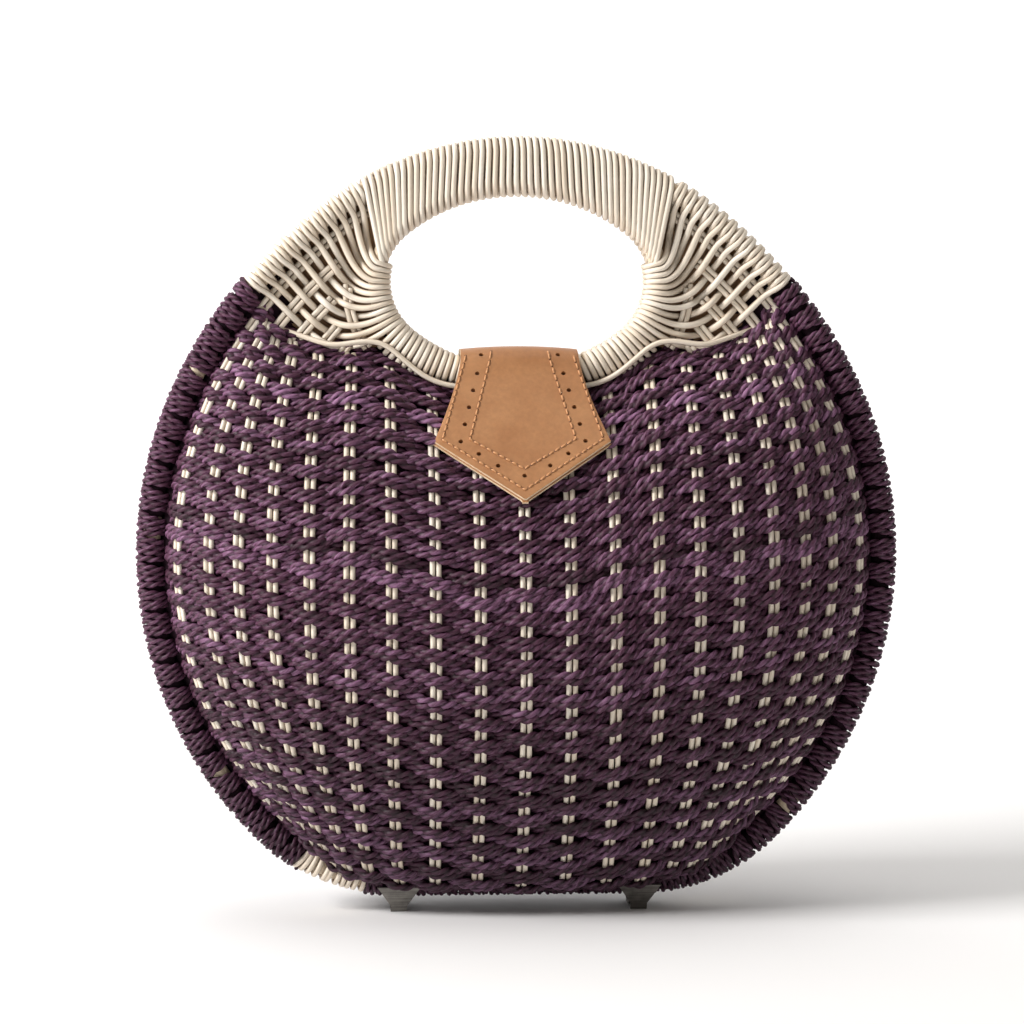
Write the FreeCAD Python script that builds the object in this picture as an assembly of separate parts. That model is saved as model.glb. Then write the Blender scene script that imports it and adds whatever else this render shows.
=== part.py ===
import FreeCAD, Part
import collections
import math
import os

# A round bag of two woven half shells on bent cane hoops, hinged at the foot and shut by a leather flap.
# Millimetres, +X to the right as the front is seen, -Y to the front, +Z up, standing on Z = 0.
# The front half is modelled, and the back half is its mirror image in the parting plane Y = 0.
# A heading is the way in which a middle line runs, in degrees: 0 along the foot, 90 up, 180 at the top.

Vector = FreeCAD.Vector
Bend = collections.namedtuple("Bend", "x z radius start end")
NODE_FOLDER = "parts"
TINY = 1e-9

# Middle line of a half's cane hoop: flat foot, then corner, side and shoulder bends, closed by the crown
foot_half_length = 49.2
foot_height = 12.1
corner_radius = 69.3
corner_turn = 44.2
side_radius = 152.6
side_turn = 72.1
shoulder_radius = 185.6
shoulder_turn = 27.3

# Ring round the hand opening, an oval of four bends below the crown of the hoop
ring_half_width = 55.5
ring_half_height = 38.8
ring_end_radius = 30.0
crown_spacing = 12.4

# Canes, the reed that wraps them and the cord that wraps the rim
cane_radius = 3.4
reed_radius = 1.1
rim_wrap_thickness = 3.1
fit_gap = 0.05
piece_gap = 0.2
half_gap = 0.2

# Where the wraps change, as headings on the hoop and on the ring
cord_end_heading = 131.0
grip_hoop_heading = 150.0
grip_ring_heading = 120.0
ring_wrap_end_heading = 109.0
grip_turns = 24
shoulder_wrap_headings = (131.6, 148.4)
shoulder_wrap_turns = 17

# Woven shell of a half, and the reed stakes inside its weave
shell_depth = 60.0
shell_base = 4.0
shell_root = 1.0
shell_corner_lift = 8.0
weave_layer = 2.2
stake_gap = 0.2
stake_pairs_each_side = 9
stake_pair_spacing = 2.5
belly_share = 0.45
top_round_share = 0.25
top_level_share = 0.999
stake_tries = 200
across_power = 2.4
side_fullness = 0.42
lower_fullness = 0.5
upper_fullness = 0.66
fan_power = 3
stake_fan_angle = 58.0
fan_limit_angle = 60.0

# Woven shoulders between hoop, ring and shell
shoulder_thickness = 6.0
shoulder_inner_half_width = 32.0
shoulder_dip = 12.0

# Leather flap: a strap over both rings that widens to a point
leather = 1.2
strap_width = 45.0
flap_width = 72.0
flap_drop = 33.0
flap_point_drop = 62.5
flap_corner_radius = 6.0
flap_gap = 0.5
flap_clearance = 0.14
flap_rest_share = 0.95
flap_pivot_depth = 8.2
hole_radius = 0.8
hole_inset = 6.9
hole_spacing = 6.7
side_holes = 5
lower_holes = 3
anchor_drop = 36.0
rivet_radius = 1.5
rivet_head_radius = 3.5
rivet_head_thickness = 1.0
rivet_spacing = 24.0
rivet_drop = 28.0

# Magnetic snap under the point of the flap
magnet_radius = 7.0
magnet_thickness = 1.2
magnet_gap = 0.4
magnet_drop = 46.0
snap_depth = 2.0
snap_rise = 0.2

# Foot hinges: two bent leaves and a pin each
hinge_distance = 47.5
leaf = 1.0
foot_width = 6.5
foot_half_depth = 9.0
wing_width = 17.4
wing_height = 10.7
waist_height = 2.5
knuckle_radius = 2.0
knuckle_gap = 0.15
knuckle_room = 0.5
pin_radius = 0.9
running_gap = 0.05
tack_radius = 0.8

# Sizes that follow
overrun = shell_depth
strap_reach = flap_width
rim_radius = cane_radius + rim_wrap_thickness
wrap_radius = cane_radius + 2 * reed_radius
winding_radius = cane_radius + reed_radius + fit_gap
rim_offset = rim_radius + half_gap
shell_line = rim_radius + piece_gap
stake_channel = 2 * reed_radius + 2 * stake_gap
shell_wall = 2 * weave_layer + stake_channel


def sine(angle):
    return math.sin(math.radians(angle))


def cosine(angle):
    return math.cos(math.radians(angle))


def bend_point(bend, heading, inset=0.0):
    radius = bend.radius - inset
    return bend.x + radius * sine(heading), bend.z - radius * cosine(heading)


def hoop_line():
    bends = []
    x, z, heading = foot_half_length, foot_height, 0.0
    turns = ((corner_radius, corner_turn), (side_radius, side_turn), (shoulder_radius, shoulder_turn))
    for radius, turn in turns:
        bends.append(Bend(x - radius * sine(heading), z + radius * cosine(heading), radius,
                          heading, heading + turn))
        heading += turn
        x, z = bend_point(bends[-1], heading)
    crown_radius = x / sine(heading)
    bends.append(Bend(0.0, z + crown_radius * cosine(heading), crown_radius, heading, 180.0))
    return bends


def ring_line(top):
    middle = top - ring_half_height
    offset = ring_half_width - ring_end_radius
    low_part = ring_half_height ** 2 - ring_end_radius ** 2 + offset ** 2
    flat_radius = low_part / (2 * (ring_half_height - ring_end_radius))
    lift = flat_radius - ring_half_height
    turn = math.degrees(math.atan2(offset, lift))
    return [Bend(0.0, middle + lift, flat_radius, 0.0, turn),
            Bend(offset, middle, ring_end_radius, turn, 180.0 - turn),
            Bend(0.0, middle - lift, flat_radius, 180.0 - turn, 180.0)]


HOOP = hoop_line()
HOOP_TOP = bend_point(HOOP[-1], 180.0)[1]
RING = ring_line(HOOP_TOP - crown_spacing)
RING_MIDDLE = HOOP_TOP - crown_spacing - ring_half_height
RING_FOOT = RING_MIDDLE - ring_half_height


def line_point(line, heading, inset=0.0):
    for bend in line:
        if heading <= bend.end:
            return bend_point(bend, heading, inset)
    return bend_point(line[-1], heading, inset)


def line_half_width(line, height, inset):
    """Half the width inside a middle line at a height, with the line moved inwards."""
    for bend in line:
        if height <= bend_point(bend, bend.end, inset)[1]:
            break
    spare = (bend.radius - inset) ** 2 - (height - bend.z) ** 2
    return bend.x + math.sqrt(max(spare, 0.0))


def heading_at(line, start, end, share):
    """Heading at a share of a middle line's length between two rising headings."""
    spans = [(bend, max(start, bend.start), min(end, bend.end)) for bend in line]
    spans = [span for span in spans if span[2] > span[1]]
    left = share * line_length(line, start, end)
    for bend, first, last in spans:
        turn = math.degrees(left / bend.radius)
        if turn <= last - first:
            return first + turn
        left -= bend.radius * math.radians(last - first)
    return end


def line_length(line, start, end):
    turns = [(bend.radius, min(end, bend.end) - max(start, bend.start)) for bend in line]
    return sum(radius * math.radians(turn) for radius, turn in turns if turn > 0)


def on_half(x, z, side):
    return Vector(side * x, -rim_offset, z)


def bend_edge(bend, first, last, side, inset=0.0):
    headings = (first, (first + last) / 2, last)
    points = [on_half(*bend_point(bend, heading, inset), side) for heading in headings]
    return Part.Arc(*points).toShape()


def line_edges(line, start, end, side, inset=0.0):
    """Edges of a middle line from one heading to another, in that order."""
    low, high = min(start, end), max(start, end)
    spans = [(bend, max(low, bend.start), min(high, bend.end)) for bend in line]
    spans = [span for span in spans if span[2] - span[1] > TINY]
    if start < end:
        return [bend_edge(bend, first, last, side, inset) for bend, first, last in spans]
    return [bend_edge(bend, last, first, side, inset) for bend, first, last in reversed(spans)]


def foot_edge(inset=0.0):
    left, right = (on_half(foot_half_length, foot_height + inset, side) for side in (-1, 1))
    return Part.LineSegment(left, right).toShape()


def hoop_edges(end=180.0, inset=0.0):
    """The hoop from a heading on its left, round the foot, to the same heading on its right."""
    left = line_edges(HOOP, end, 0.0, -1, inset)
    return left + [foot_edge(inset)] + line_edges(HOOP, 0.0, end, 1, inset)


def ring_edges(end=180.0, inset=0.0):
    return line_edges(RING, end, 0.0, -1, inset) + line_edges(RING, 0.0, end, 1, inset)


def pipe(edges, radius):
    first = edges[0]
    start = first.valueAt(first.FirstParameter)
    way = first.tangentAt(first.FirstParameter)
    profile = Part.Wire(Part.makeCircle(radius, start, way))
    return Part.Wire(edges).makePipeShell([profile], True, False)


def sleeve(edges, outer, inner):
    return pipe(edges, outer).cut(pipe(edges, inner))


def arc_past(start, corner, end):
    """Arc from start to end, tangent to both lines that meet at the corner."""
    middle = (start + end) / 2
    rise = corner - middle
    half = (end - start).Length / 2
    if rise.Length < TINY + half * TINY:
        return Part.LineSegment(start, end).toShape()
    sagitta = half * math.tan(math.atan2(rise.Length, half) / 2)
    return Part.Arc(start, middle + rise * (sagitta / rise.Length), end).toShape()


def biarc(start, start_way, end, end_way):
    across = end - start
    square = 2 * (1 - start_way.dot(end_way))
    linear = 2 * across.dot(start_way + end_way)
    constant = across.dot(across)
    if square < TINY:
        reach = constant / linear
    else:
        reach = (math.sqrt(linear ** 2 + 4 * square * constant) - linear) / (2 * square)
    first, second = start + start_way * reach, end - end_way * reach
    middle = (first + second) / 2
    return [arc_past(start, first, middle), arc_past(middle, second, end)]


def smooth_edges(stations):
    """Tangent arcs through stations, each a point and the way in which the line passes it."""
    edges = []
    for (start, start_way), (end, end_way) in zip(stations, stations[1:]):
        edges += biarc(start, start_way, end, end_way)
    return edges


def least_gap(edges, turns):
    """Least gap between the turns of a winding, measured on points a share of a turn apart."""
    per_turn = 24
    points = Part.Wire(edges).discretize(Number=per_turn * turns)
    least = min((a - b).Length for i, a in enumerate(points) for b in points[i + per_turn // 2:])
    return least - 2 * reed_radius


def winding(name, stations, turns):
    edges = smooth_edges(stations)
    print(name, "least gap", round(least_gap(edges, turns), 2))
    return pipe(edges, reed_radius)


def shoulder_wrap(name, side):
    """Reed wound round the hoop from the end of the cord wrap to the grip."""
    quarters = 4 * shoulder_wrap_turns
    advance = line_length(HOOP, *shoulder_wrap_headings) / quarters
    stations = []
    for quarter in range(quarters + 1):
        heading = heading_at(HOOP, *shoulder_wrap_headings, quarter / quarters)
        outward = Vector(side * sine(heading), 0, -cosine(heading))
        forward = Vector(side * cosine(heading), 0, sine(heading))
        turned = outward * cosine(90 * quarter) - Vector(0, 1, 0) * sine(90 * quarter)
        turning = outward * -sine(90 * quarter) - Vector(0, 1, 0) * cosine(90 * quarter)
        way = turning * (winding_radius * math.pi / 2) + forward * advance
        middle = on_half(*line_point(HOOP, heading), side)
        stations.append((middle + turned * winding_radius, way.normalize()))
    return winding(name, stations, shoulder_wrap_turns)


def grip_point(line, end_heading, share):
    """Point and way of a line between like headings left and right of the crown, by share of the length."""
    from_crown = 2 * share - 1
    side = math.copysign(1, from_crown)
    heading = heading_at(line, end_heading, 180.0, 1 - abs(from_crown))
    return on_half(*line_point(line, heading), side), Vector(side * cosine(heading), 0, sine(heading))


def slant_room(way, across):
    """How much further than straight across a reed must turn that crosses a cane at a slant."""
    return winding_radius * (1 / way.cross(across).Length - 1)


def grip_wrap(name):
    """Reed wound round the hoop and the ring together, down in front and up behind."""
    runs = 2 * grip_turns
    stations = []
    for run in range(runs):
        share = run / (runs - 1)
        top, top_way = grip_point(HOOP, grip_hoop_heading, share)
        low, low_way = grip_point(RING, grip_ring_heading, share)
        down = (low - top).normalize()
        top -= down * slant_room(top_way, down)
        low += down * slant_room(low_way, down)
        if run % 2 == 0:
            out = Vector(0, -winding_radius, 0)
            stations += [(top + out, down), (low + out, down)]
        else:
            out = Vector(0, winding_radius, 0)
            stations += [(low + out, -down), (top + out, -down)]
    return winding(name, stations, grip_turns)


def bulge(share, power, fullness):
    """Height of a round arch at a share of its half width, steep at its ends."""
    spare = 1 - abs(share) ** power
    return spare ** fullness if spare > TINY else 0.0


def shell_rise(share):
    """Share of the full depth along a stake, from the foot of the weave over the belly to its top."""
    if share < belly_share:
        return bulge((belly_share - share) / belly_share, 2, lower_fullness)
    return bulge((share - belly_share) / (1 - belly_share), 2, upper_fullness)


def shell_swell(x, edge, up):
    """Share of the full depth, from the place between the outline's sides and between foot and top."""
    return bulge(x / edge, across_power, side_fullness) * shell_rise(up)


def weave_top(across):
    """Height of the top edge of the weave: under the ring in the middle, up to the hoop at the sides."""
    middle = RING_FOOT - wrap_radius - piece_gap
    side = line_point(HOOP, cord_end_heading, shell_line)[1]
    whole = math.hypot(1, top_round_share) - top_round_share
    return middle + (side - middle) * (math.hypot(across, top_round_share) - top_round_share) / whole


def weave_foot(across):
    """Height of the bottom edge of the weave: on the rim in the middle, higher towards its corners."""
    return foot_height + shell_line + shell_corner_lift * across ** 2


def shell_bulge(x, z, inset):
    """Share of the full depth that the shell has at a place in front view, or -1 outside its outline."""
    edge = line_half_width(HOOP, z, shell_line + inset)
    if abs(x) >= edge:
        return -1.0
    across = x / (1 - abs(x) ** fan_power * fan_squeeze(edge, inset)) ** (1 / fan_power) / shell_widest(inset)
    low, high = weave_foot(across) + inset, weave_top(across) - inset
    up = (z - low) / (high - low)
    return shell_swell(x, edge, up) if 0 < up < 1 else -1.0


def shell_widest(inset):
    return HOOP[1].x + side_radius - shell_line - inset


def fan_squeeze(edge, inset):
    """How strongly the stakes are drawn in where the outline is narrower than at its widest."""
    return edge ** -fan_power - shell_widest(inset) ** -fan_power


def shell_point(across, up, inset):
    """Point of the shell by shares: across from -1 to 1 along a row, up from 0 to 1 along a stake."""
    low = weave_foot(across) + inset
    z = low + (weave_top(across) - inset - low) * up
    edge = line_half_width(HOOP, z, shell_line + inset)
    flat = across * shell_widest(inset)
    x = flat * (1 + abs(flat) ** fan_power * fan_squeeze(edge, inset)) ** (-1 / fan_power)
    y = shell_root + (shell_depth - inset - shell_root) * shell_swell(x, edge, up)
    return Vector(x, -y, z)


def level_line(level, inset):
    """Closed line round the belly where the shell has a share of its full depth."""
    belly = weave_foot(0.0) + inset + (weave_top(0.0) - weave_foot(0.0) - 2 * inset) * belly_share
    depth = shell_root + (shell_depth - inset - shell_root) * level
    rays = 72
    points = []
    for ray in range(rays):
        aside, up = sine(360.0 * ray / rays), -cosine(360.0 * ray / rays)
        near, far = 0.0, 2 * side_radius
        while far - near > TINY * side_radius:
            middle = (near + far) / 2
            inside = shell_bulge(middle * aside, belly + middle * up, inset) > level
            near, far = (middle, far) if inside else (near, middle)
        points.append(Vector(near * aside, -depth, belly + near * up))
    curve = Part.BSplineCurve()
    curve.interpolate(points, PeriodicFlag=True)
    return Part.Wire(curve.toShape())


def dome(inset, base):
    """Closed solid under the shell's outer face, moved inwards, from a base plane to its flat top."""
    steps = 9
    foot_share = (base - shell_root) / (shell_depth - inset - shell_root)
    levels = [foot_share + (top_level_share - foot_share) * sine(90.0 * k / steps) for k in range(steps + 1)]
    return Part.makeLoft([level_line(level, inset) for level in levels], True, False)


def weave():
    """Wall of the shell, hollow between its outer and inner cord layers where the stakes run."""
    wall = dome(0.0, shell_base).cut(dome(shell_wall, shell_base))
    inner_base = shell_base + weave_layer
    channel = dome(weave_layer, inner_base).cut(dome(weave_layer + stake_channel, inner_base))
    return wall.cut(channel)


def stake(across):
    """Reed along the middle of the weave's channel, as far up and down as the channel goes."""
    inset = weave_layer + stake_channel / 2
    least_depth = shell_base + weave_layer + reed_radius + stake_gap
    tries = [k / stake_tries for k in range(1, stake_tries)]
    inside = [up for up in tries if -shell_point(across, up, inset).y > least_depth]
    first, last = inside[0], inside[-1]
    steps = 8
    near_share = 0.001
    stations = []
    for k in range(steps + 1):
        up = first + (last - first) * (1 - cosine(180.0 * k / steps)) / 2
        way = shell_point(across, up + near_share, inset) - shell_point(across, up - near_share, inset)
        stations.append((shell_point(across, up, inset), way.normalize()))
    return pipe(smooth_edges(stations), reed_radius)


def stakes():
    """Pairs of upright reeds, evenly spaced along the shell's girth."""
    pairs = range(-stake_pairs_each_side, stake_pairs_each_side + 1)
    middles = [sine(stake_fan_angle * pair / stake_pairs_each_side) / sine(fan_limit_angle) for pair in pairs]
    half_pair = stake_pair_spacing / 2 / shell_widest(0.0)
    return Part.Compound([stake(middle + half) for middle in middles for half in (-half_pair, half_pair)])


def prism(points):
    """Outline in X and Z, through the whole depth of the bag."""
    corners = [Vector(x, -overrun, z) for x, z in points]
    wire = Part.makePolygon(corners + corners[:1])
    return Part.Face(wire).extrude(Vector(0, 2 * overrun, 0))


def plate(edges, thickness):
    """Plate of an outline in the middle plane of a half."""
    face = Part.Face(Part.Wire(edges))
    face.translate(Vector(0, -thickness / 2, 0))
    return face.extrude(Vector(0, thickness, 0))


def shoulders():
    """Plates between hoop, ring and shell, one on each side, that dip into the shell's top corners."""
    clear = wrap_radius + piece_gap
    whole = plate(hoop_edges(inset=clear), shoulder_thickness)
    ring = plate(ring_edges(inset=-clear), 2 * shoulder_thickness)
    shell = dome(-2 * piece_gap, shell_base - shell_root)
    rim = pipe(hoop_edges(cord_end_heading), rim_radius + piece_gap)
    far = 2 * side_radius
    steps = 16
    edge = [shell_point(2 * k / steps - 1, 1.0, 0.0) for k in range(steps + 1)]
    edge = [(point.x, point.z - shoulder_dip) for point in edge]
    below = prism(edge + [(far, edge[-1][1]), (far, 0), (-far, 0), (-far, edge[0][1])])
    x, z = line_point(HOOP, grip_hoop_heading)
    reach = far / (z - RING_MIDDLE)
    grip = prism([(0, RING_MIDDLE), (x * reach, RING_MIDDLE + far), (-x * reach, RING_MIDDLE + far)])
    inner = shoulder_inner_half_width
    strap = prism([(-inner, 0), (inner, 0), (inner, RING_MIDDLE), (-inner, RING_MIDDLE)])
    panels = whole.cut([ring, shell, rim, below, grip, strap]).Solids
    return [panel for panel in panels if panel.BoundBox.ZMax > RING_MIDDLE]


def strap_frame():
    """Underside of the strap over the rings: height of its top and of the bend over the front ring."""
    bend_height = ring_height_at(strap_width / 2)
    return bend_height + wrap_radius + flap_gap, bend_height


def ring_height_at(x):
    """Height of the ring's middle line, low on the ring, at a distance from its middle."""
    low = RING[0]
    return low.z - math.sqrt(low.radius ** 2 - x ** 2)


def flap_half_width(drop):
    """Half the flap's width at a drop below the strap's top, before its corners are rounded."""
    if drop < flap_drop:
        return strap_width / 2 + (flap_width - strap_width) / 2 * drop / flap_drop
    return flap_width / 2 * (flap_point_drop - drop) / (flap_point_drop - flap_drop)


def before_ring(point):
    """How far a point lies in front of the front ring's low middle line, and how far below it."""
    return -point.y - rim_offset, ring_height_at(strap_width / 2) - point.z


def least_slope(point, clearance):
    """Slope from the vertical at which the flap's underside passes a point at a clearance."""
    forward, below = before_ring(point)
    reach = (wrap_radius + flap_gap - clearance) / math.hypot(forward, below)
    return math.degrees(math.atan2(forward, below) - math.asin(reach))


def flap_room(point, drop):
    """Room that the flap needs over a point of the shell, more where the magnet and its snap lie."""
    if math.hypot(point.x, drop - magnet_drop) < magnet_radius:
        return magnet_thickness + magnet_gap
    return flap_clearance


def flap_rest_slope():
    """Slope at which the flap rests on the shell, from the shell's points under it."""
    tries = 60
    top = strap_frame()[0]
    widest_share = flap_width / 2 / shell_widest(0.0)
    slopes = []
    for across in [widest_share * k / tries for k in range(tries + 1)]:
        for up in [belly_share + (1 - belly_share) * k / tries for k in range(tries)]:
            point = shell_point(across, up, 0.0)
            drop = top - point.z
            if point.x < flap_rest_share * flap_half_width(drop):
                slopes.append(least_slope(point, flap_room(point, drop)))
    return max(slopes)


FLAP_SLOPE = flap_rest_slope()


def shell_lift(drop):
    """How far the middle of the shell lies above the strap's underside at a drop below the strap's top."""
    low, high = weave_foot(0.0), weave_top(0.0)
    point = shell_point(0.0, (strap_frame()[0] - drop - low) / (high - low), 0.0)
    forward, below = before_ring(point)
    return forward * cosine(FLAP_SLOPE) - below * sine(FLAP_SLOPE) - wrap_radius - flap_gap


def strap_points(lift):
    """Top, bend and slope of the strap's side view at a lift from its underside, as points in Y and Z."""
    top, bend_height = strap_frame()
    radius = top - bend_height + lift
    slope_end = (flap_point_drop + overrun) / cosine(FLAP_SLOPE)
    turned = 90.0 - FLAP_SLOPE
    start = (-rim_offset, bend_height + radius)
    middle = (-rim_offset - radius * sine(turned / 2), bend_height + radius * cosine(turned / 2))
    end = (-rim_offset - radius * sine(turned), bend_height + radius * cosine(turned))
    far = (end[0] - slope_end * sine(FLAP_SLOPE), end[1] - slope_end * cosine(FLAP_SLOPE))
    return start, middle, end, far


def strap_layer(low, high, back):
    """Bent sheet between two lifts from the strap's underside, from a place in Y down the slope."""
    rows = []
    for lift in (low, high):
        points = [(back, strap_points(lift)[0][1])] + list(strap_points(lift))
        rows.append([Vector(-strap_reach, y, z) for y, z in points])
    edges = []
    for first, start, middle, end, far in rows:
        edges.append(Part.LineSegment(first, start).toShape())
        edges.append(Part.Arc(start, middle, end).toShape())
        edges.append(Part.LineSegment(end, far).toShape())
    edges.append(Part.LineSegment(rows[0][0], rows[1][0]).toShape())
    edges.append(Part.LineSegment(rows[0][-1], rows[1][-1]).toShape())
    face = Part.Face(Part.Wire(Part.__sortEdges__(edges)))
    return face.extrude(Vector(2 * strap_reach, 0, 0))


def flap_corners():
    """Corners of the flap's outline on its right, in X and Z, from the strap to the point."""
    top = strap_frame()[0]
    return [(strap_width / 2, top), (flap_width / 2, top - flap_drop), (0.0, top - flap_point_drop)]


def flap_outline():
    (strap_x, top), (wide_x, wide_z), (_, point_z) = flap_corners()
    points = [(-strap_x, top + overrun), (strap_x, top + overrun), (strap_x, top), (wide_x, wide_z),
              (0, point_z), (-wide_x, wide_z), (-strap_x, top)]
    solid = prism(points)
    corners = [(wide_x, wide_z), (-wide_x, wide_z), (0, point_z)]
    rounded = [edge for edge in solid.Edges if is_corner_edge(edge, corners)]
    return solid.makeFillet(flap_corner_radius, rounded)


def is_corner_edge(edge, corners):
    """Whether an edge runs along Y through one of the corners."""
    first, last = (vertex.Point for vertex in edge.Vertexes)
    if abs(first.x - last.x) + abs(first.z - last.z) > TINY * overrun:
        return False
    return any(math.hypot(first.x - x, first.z - z) < TINY * overrun for x, z in corners)


def slope_place(x, drop, lift):
    """Point on the flap's slope at a drop below the strap's top, and the way out of the leather."""
    start = strap_points(lift)[2]
    along = (start[1] - strap_frame()[0] + drop) / cosine(FLAP_SLOPE)
    out = Vector(0, -cosine(FLAP_SLOPE), sine(FLAP_SLOPE))
    return Vector(x, start[0] - along * sine(FLAP_SLOPE), start[1] - along * cosine(FLAP_SLOPE)), out


def slope_disc(radius, x, drop, low, high):
    """Disc square to the flap's slope, between two lifts from the strap's underside."""
    middle, out = slope_place(x, drop, 0.0)
    return Part.makeCylinder(radius, high - low, middle + out * low, out)


def flap_holes():
    """Punched holes inside both sides and both lower edges of the flap."""
    (strap_x, top), (wide_x, wide_z), (_, point_z) = flap_corners()
    holes = []
    for start, end, count in (((strap_x, top), (wide_x, wide_z), side_holes),
                              ((wide_x, wide_z), (0.0, point_z), lower_holes)):
        run = math.hypot(end[0] - start[0], end[1] - start[1])
        way = ((end[0] - start[0]) / run, (end[1] - start[1]) / run)
        first = (run - hole_spacing * (count - 1)) / 2
        for k in range(count):
            along = first + hole_spacing * k
            x = start[0] + way[0] * along + way[1] * hole_inset
            z = start[1] + way[1] * along - way[0] * hole_inset
            holes += [slope_disc(hole_radius, side * x, top - z, 0.0, 2 * leather + leaf) for side in (-1, 1)]
    return holes


def flap_outer():
    """Outer leather, rolled round the line that it turns on behind the back ring."""
    top = strap_frame()[0]
    roll = Part.makeCylinder(leather, strap_width, Vector(-strap_width / 2, flap_pivot_depth, top + leather),
                             Vector(1, 0, 0))
    sheet = strap_layer(leather, 2 * leather, flap_pivot_depth).common(flap_outline())
    return sheet.fuse(roll).removeSplitter().cut(flap_holes())


def flap_inner():
    back = flap_pivot_depth - leather - piece_gap
    return strap_layer(0.0, leather, back).common(flap_outline())


def flap_anchor():
    """Leather tab that carries the flap, behind the back ring and down the back shell."""
    start = -(flap_pivot_depth + leather + flap_gap)
    top = strap_frame()[0]
    half = strap_width / 2
    outline = prism([(-half, top + overrun), (half, top + overrun), (half, top - anchor_drop),
                     (-half, top - anchor_drop)])
    front_of_it = Part.makeBox(2 * strap_reach, 2 * overrun, 2 * overrun,
                               Vector(-strap_reach, start, top - overrun))
    return strap_layer(0.0, leather, 0.0).common(outline).cut(front_of_it)


def anchor_rivets():
    rivets = []
    for side in (-1, 1):
        x = side * rivet_spacing / 2
        inside = -shell_wall - flap_gap - leather
        shank = slope_disc(rivet_radius, x, rivet_drop, inside, leather)
        head = slope_disc(rivet_head_radius, x, rivet_drop, leather, leather + rivet_head_thickness)
        rivets.append(shank.fuse(head).removeSplitter())
    return rivets


def cut_for_rivets(shape):
    radius = rivet_radius + fit_gap
    places = (-rivet_spacing / 2, rivet_spacing / 2)
    return shape.cut([slope_disc(radius, x, rivet_drop, -leather, 2 * leather) for x in places])


def wing_frame():
    """Bend of a leaf from its foot to its wing, the wing's angle and its length."""
    bend = Vector(0, -foot_half_depth, leaf / 2)
    aside, above = foot_half_depth - rim_offset, foot_height - leaf / 2
    distance = math.hypot(aside, above)
    clear = rim_radius + fit_gap + leaf / 2
    lean = math.degrees(math.asin(clear / distance)) - math.degrees(math.atan2(aside, above))
    return bend, lean, (wing_height - leaf / 2) / cosine(lean)


def leaf_sheet(x):
    """Foot and wing of a leaf, wide, before its outline is cut."""
    bend, lean, length = wing_frame()
    left = x - wing_width
    foot = Part.makeBox(2 * wing_width, foot_half_depth, leaf, Vector(left, -foot_half_depth, 0))
    wing = Part.makeBox(2 * wing_width, leaf, length, Vector(left, -leaf / 2, 0))
    wing.rotate(Vector(0, 0, 0), Vector(1, 0, 0), lean)
    wing.translate(bend)
    round_bend = Part.makeCylinder(leaf / 2, 2 * wing_width, Vector(left, bend.y, bend.z), Vector(1, 0, 0))
    return foot.fuse([wing, round_bend])


def leaf_outline(x):
    waist, wing = foot_width / 2, wing_width / 2
    return prism([(x - waist, 0), (x + waist, 0), (x + waist, waist_height), (x + wing, wing_height),
                  (x - wing, wing_height), (x - waist, waist_height)])


def hinge_leaf(x, spans):
    """Leaf of the front half whose knuckles lie on the given spans of the pin."""
    room = knuckle_radius + knuckle_room
    gap = Part.makeBox(2 * wing_width, 2 * room, 2 * room, Vector(x - wing_width, -room, -room))
    sheet = leaf_sheet(x).common(leaf_outline(x)).cut(gap)
    along = Vector(1, 0, 0)
    for start, end in spans:
        middle = Vector(start, 0, knuckle_radius)
        finger = Part.makeBox(end - start, room + leaf, leaf, Vector(start, -room - leaf, 0))
        sheet = sheet.fuse([finger, Part.makeCylinder(knuckle_radius, end - start, middle, along)])
    bore = pin_bar(x, pin_radius + running_gap)
    return sheet.removeSplitter().cut([bore, tack(x, tack_radius + fit_gap)])


def knuckle_spans(x):
    """Three spans of the pin: the outer two for the front leaf, the middle one for the back leaf."""
    length = (foot_width - 2 * knuckle_gap) / 3
    starts = [x - foot_width / 2 + k * (length + knuckle_gap) for k in range(3)]
    return [(start, start + length) for start in starts]


def pin_bar(x, radius):
    """Round bar on a hinge's axis, as long as the hinge's foot is wide."""
    end = Vector(x - foot_width / 2, 0, knuckle_radius)
    return Part.makeCylinder(radius, foot_width, end, Vector(1, 0, 0))


def tack(x, radius):
    """Nail through a wing into the middle of the hoop, flush with the wing."""
    lean = wing_frame()[1]
    inwards = Vector(0, cosine(lean), sine(lean))
    hoop = Vector(x, -rim_offset, foot_height)
    length = rim_radius + fit_gap + leaf
    return Part.makeCylinder(radius, length, hoop - inwards * length, inwards)


def to_back(shape):
    return shape.mirror(Vector(0, 0, 0), Vector(0, 1, 0))


def half_nodes():
    """Pieces that both halves have, modelled for the front half."""
    nodes = {"hoop": pipe(hoop_edges(), cane_radius), "ring": pipe(ring_edges(), cane_radius)}
    nodes["rim_wrap"] = sleeve(hoop_edges(cord_end_heading), rim_radius, cane_radius + fit_gap)
    nodes["ring_wrap"] = sleeve(ring_edges(ring_wrap_end_heading), wrap_radius, cane_radius + fit_gap)
    nodes["grip_wrap"] = grip_wrap("grip wrap")
    left, right = sorted(shoulders(), key=lambda solid: solid.CenterOfMass.x)
    for name, side, panel in (("left", -1, left), ("right", 1, right)):
        nodes["shoulder_wrap_" + name] = shoulder_wrap("shoulder wrap " + name, side)
        nodes["shoulder_" + name] = panel
    nodes["weave"] = weave()
    nodes["stakes"] = stakes()
    nodes["hinge_tacks"] = Part.Compound([tack(side * hinge_distance, tack_radius) for side in (-1, 1)])
    return nodes


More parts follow.
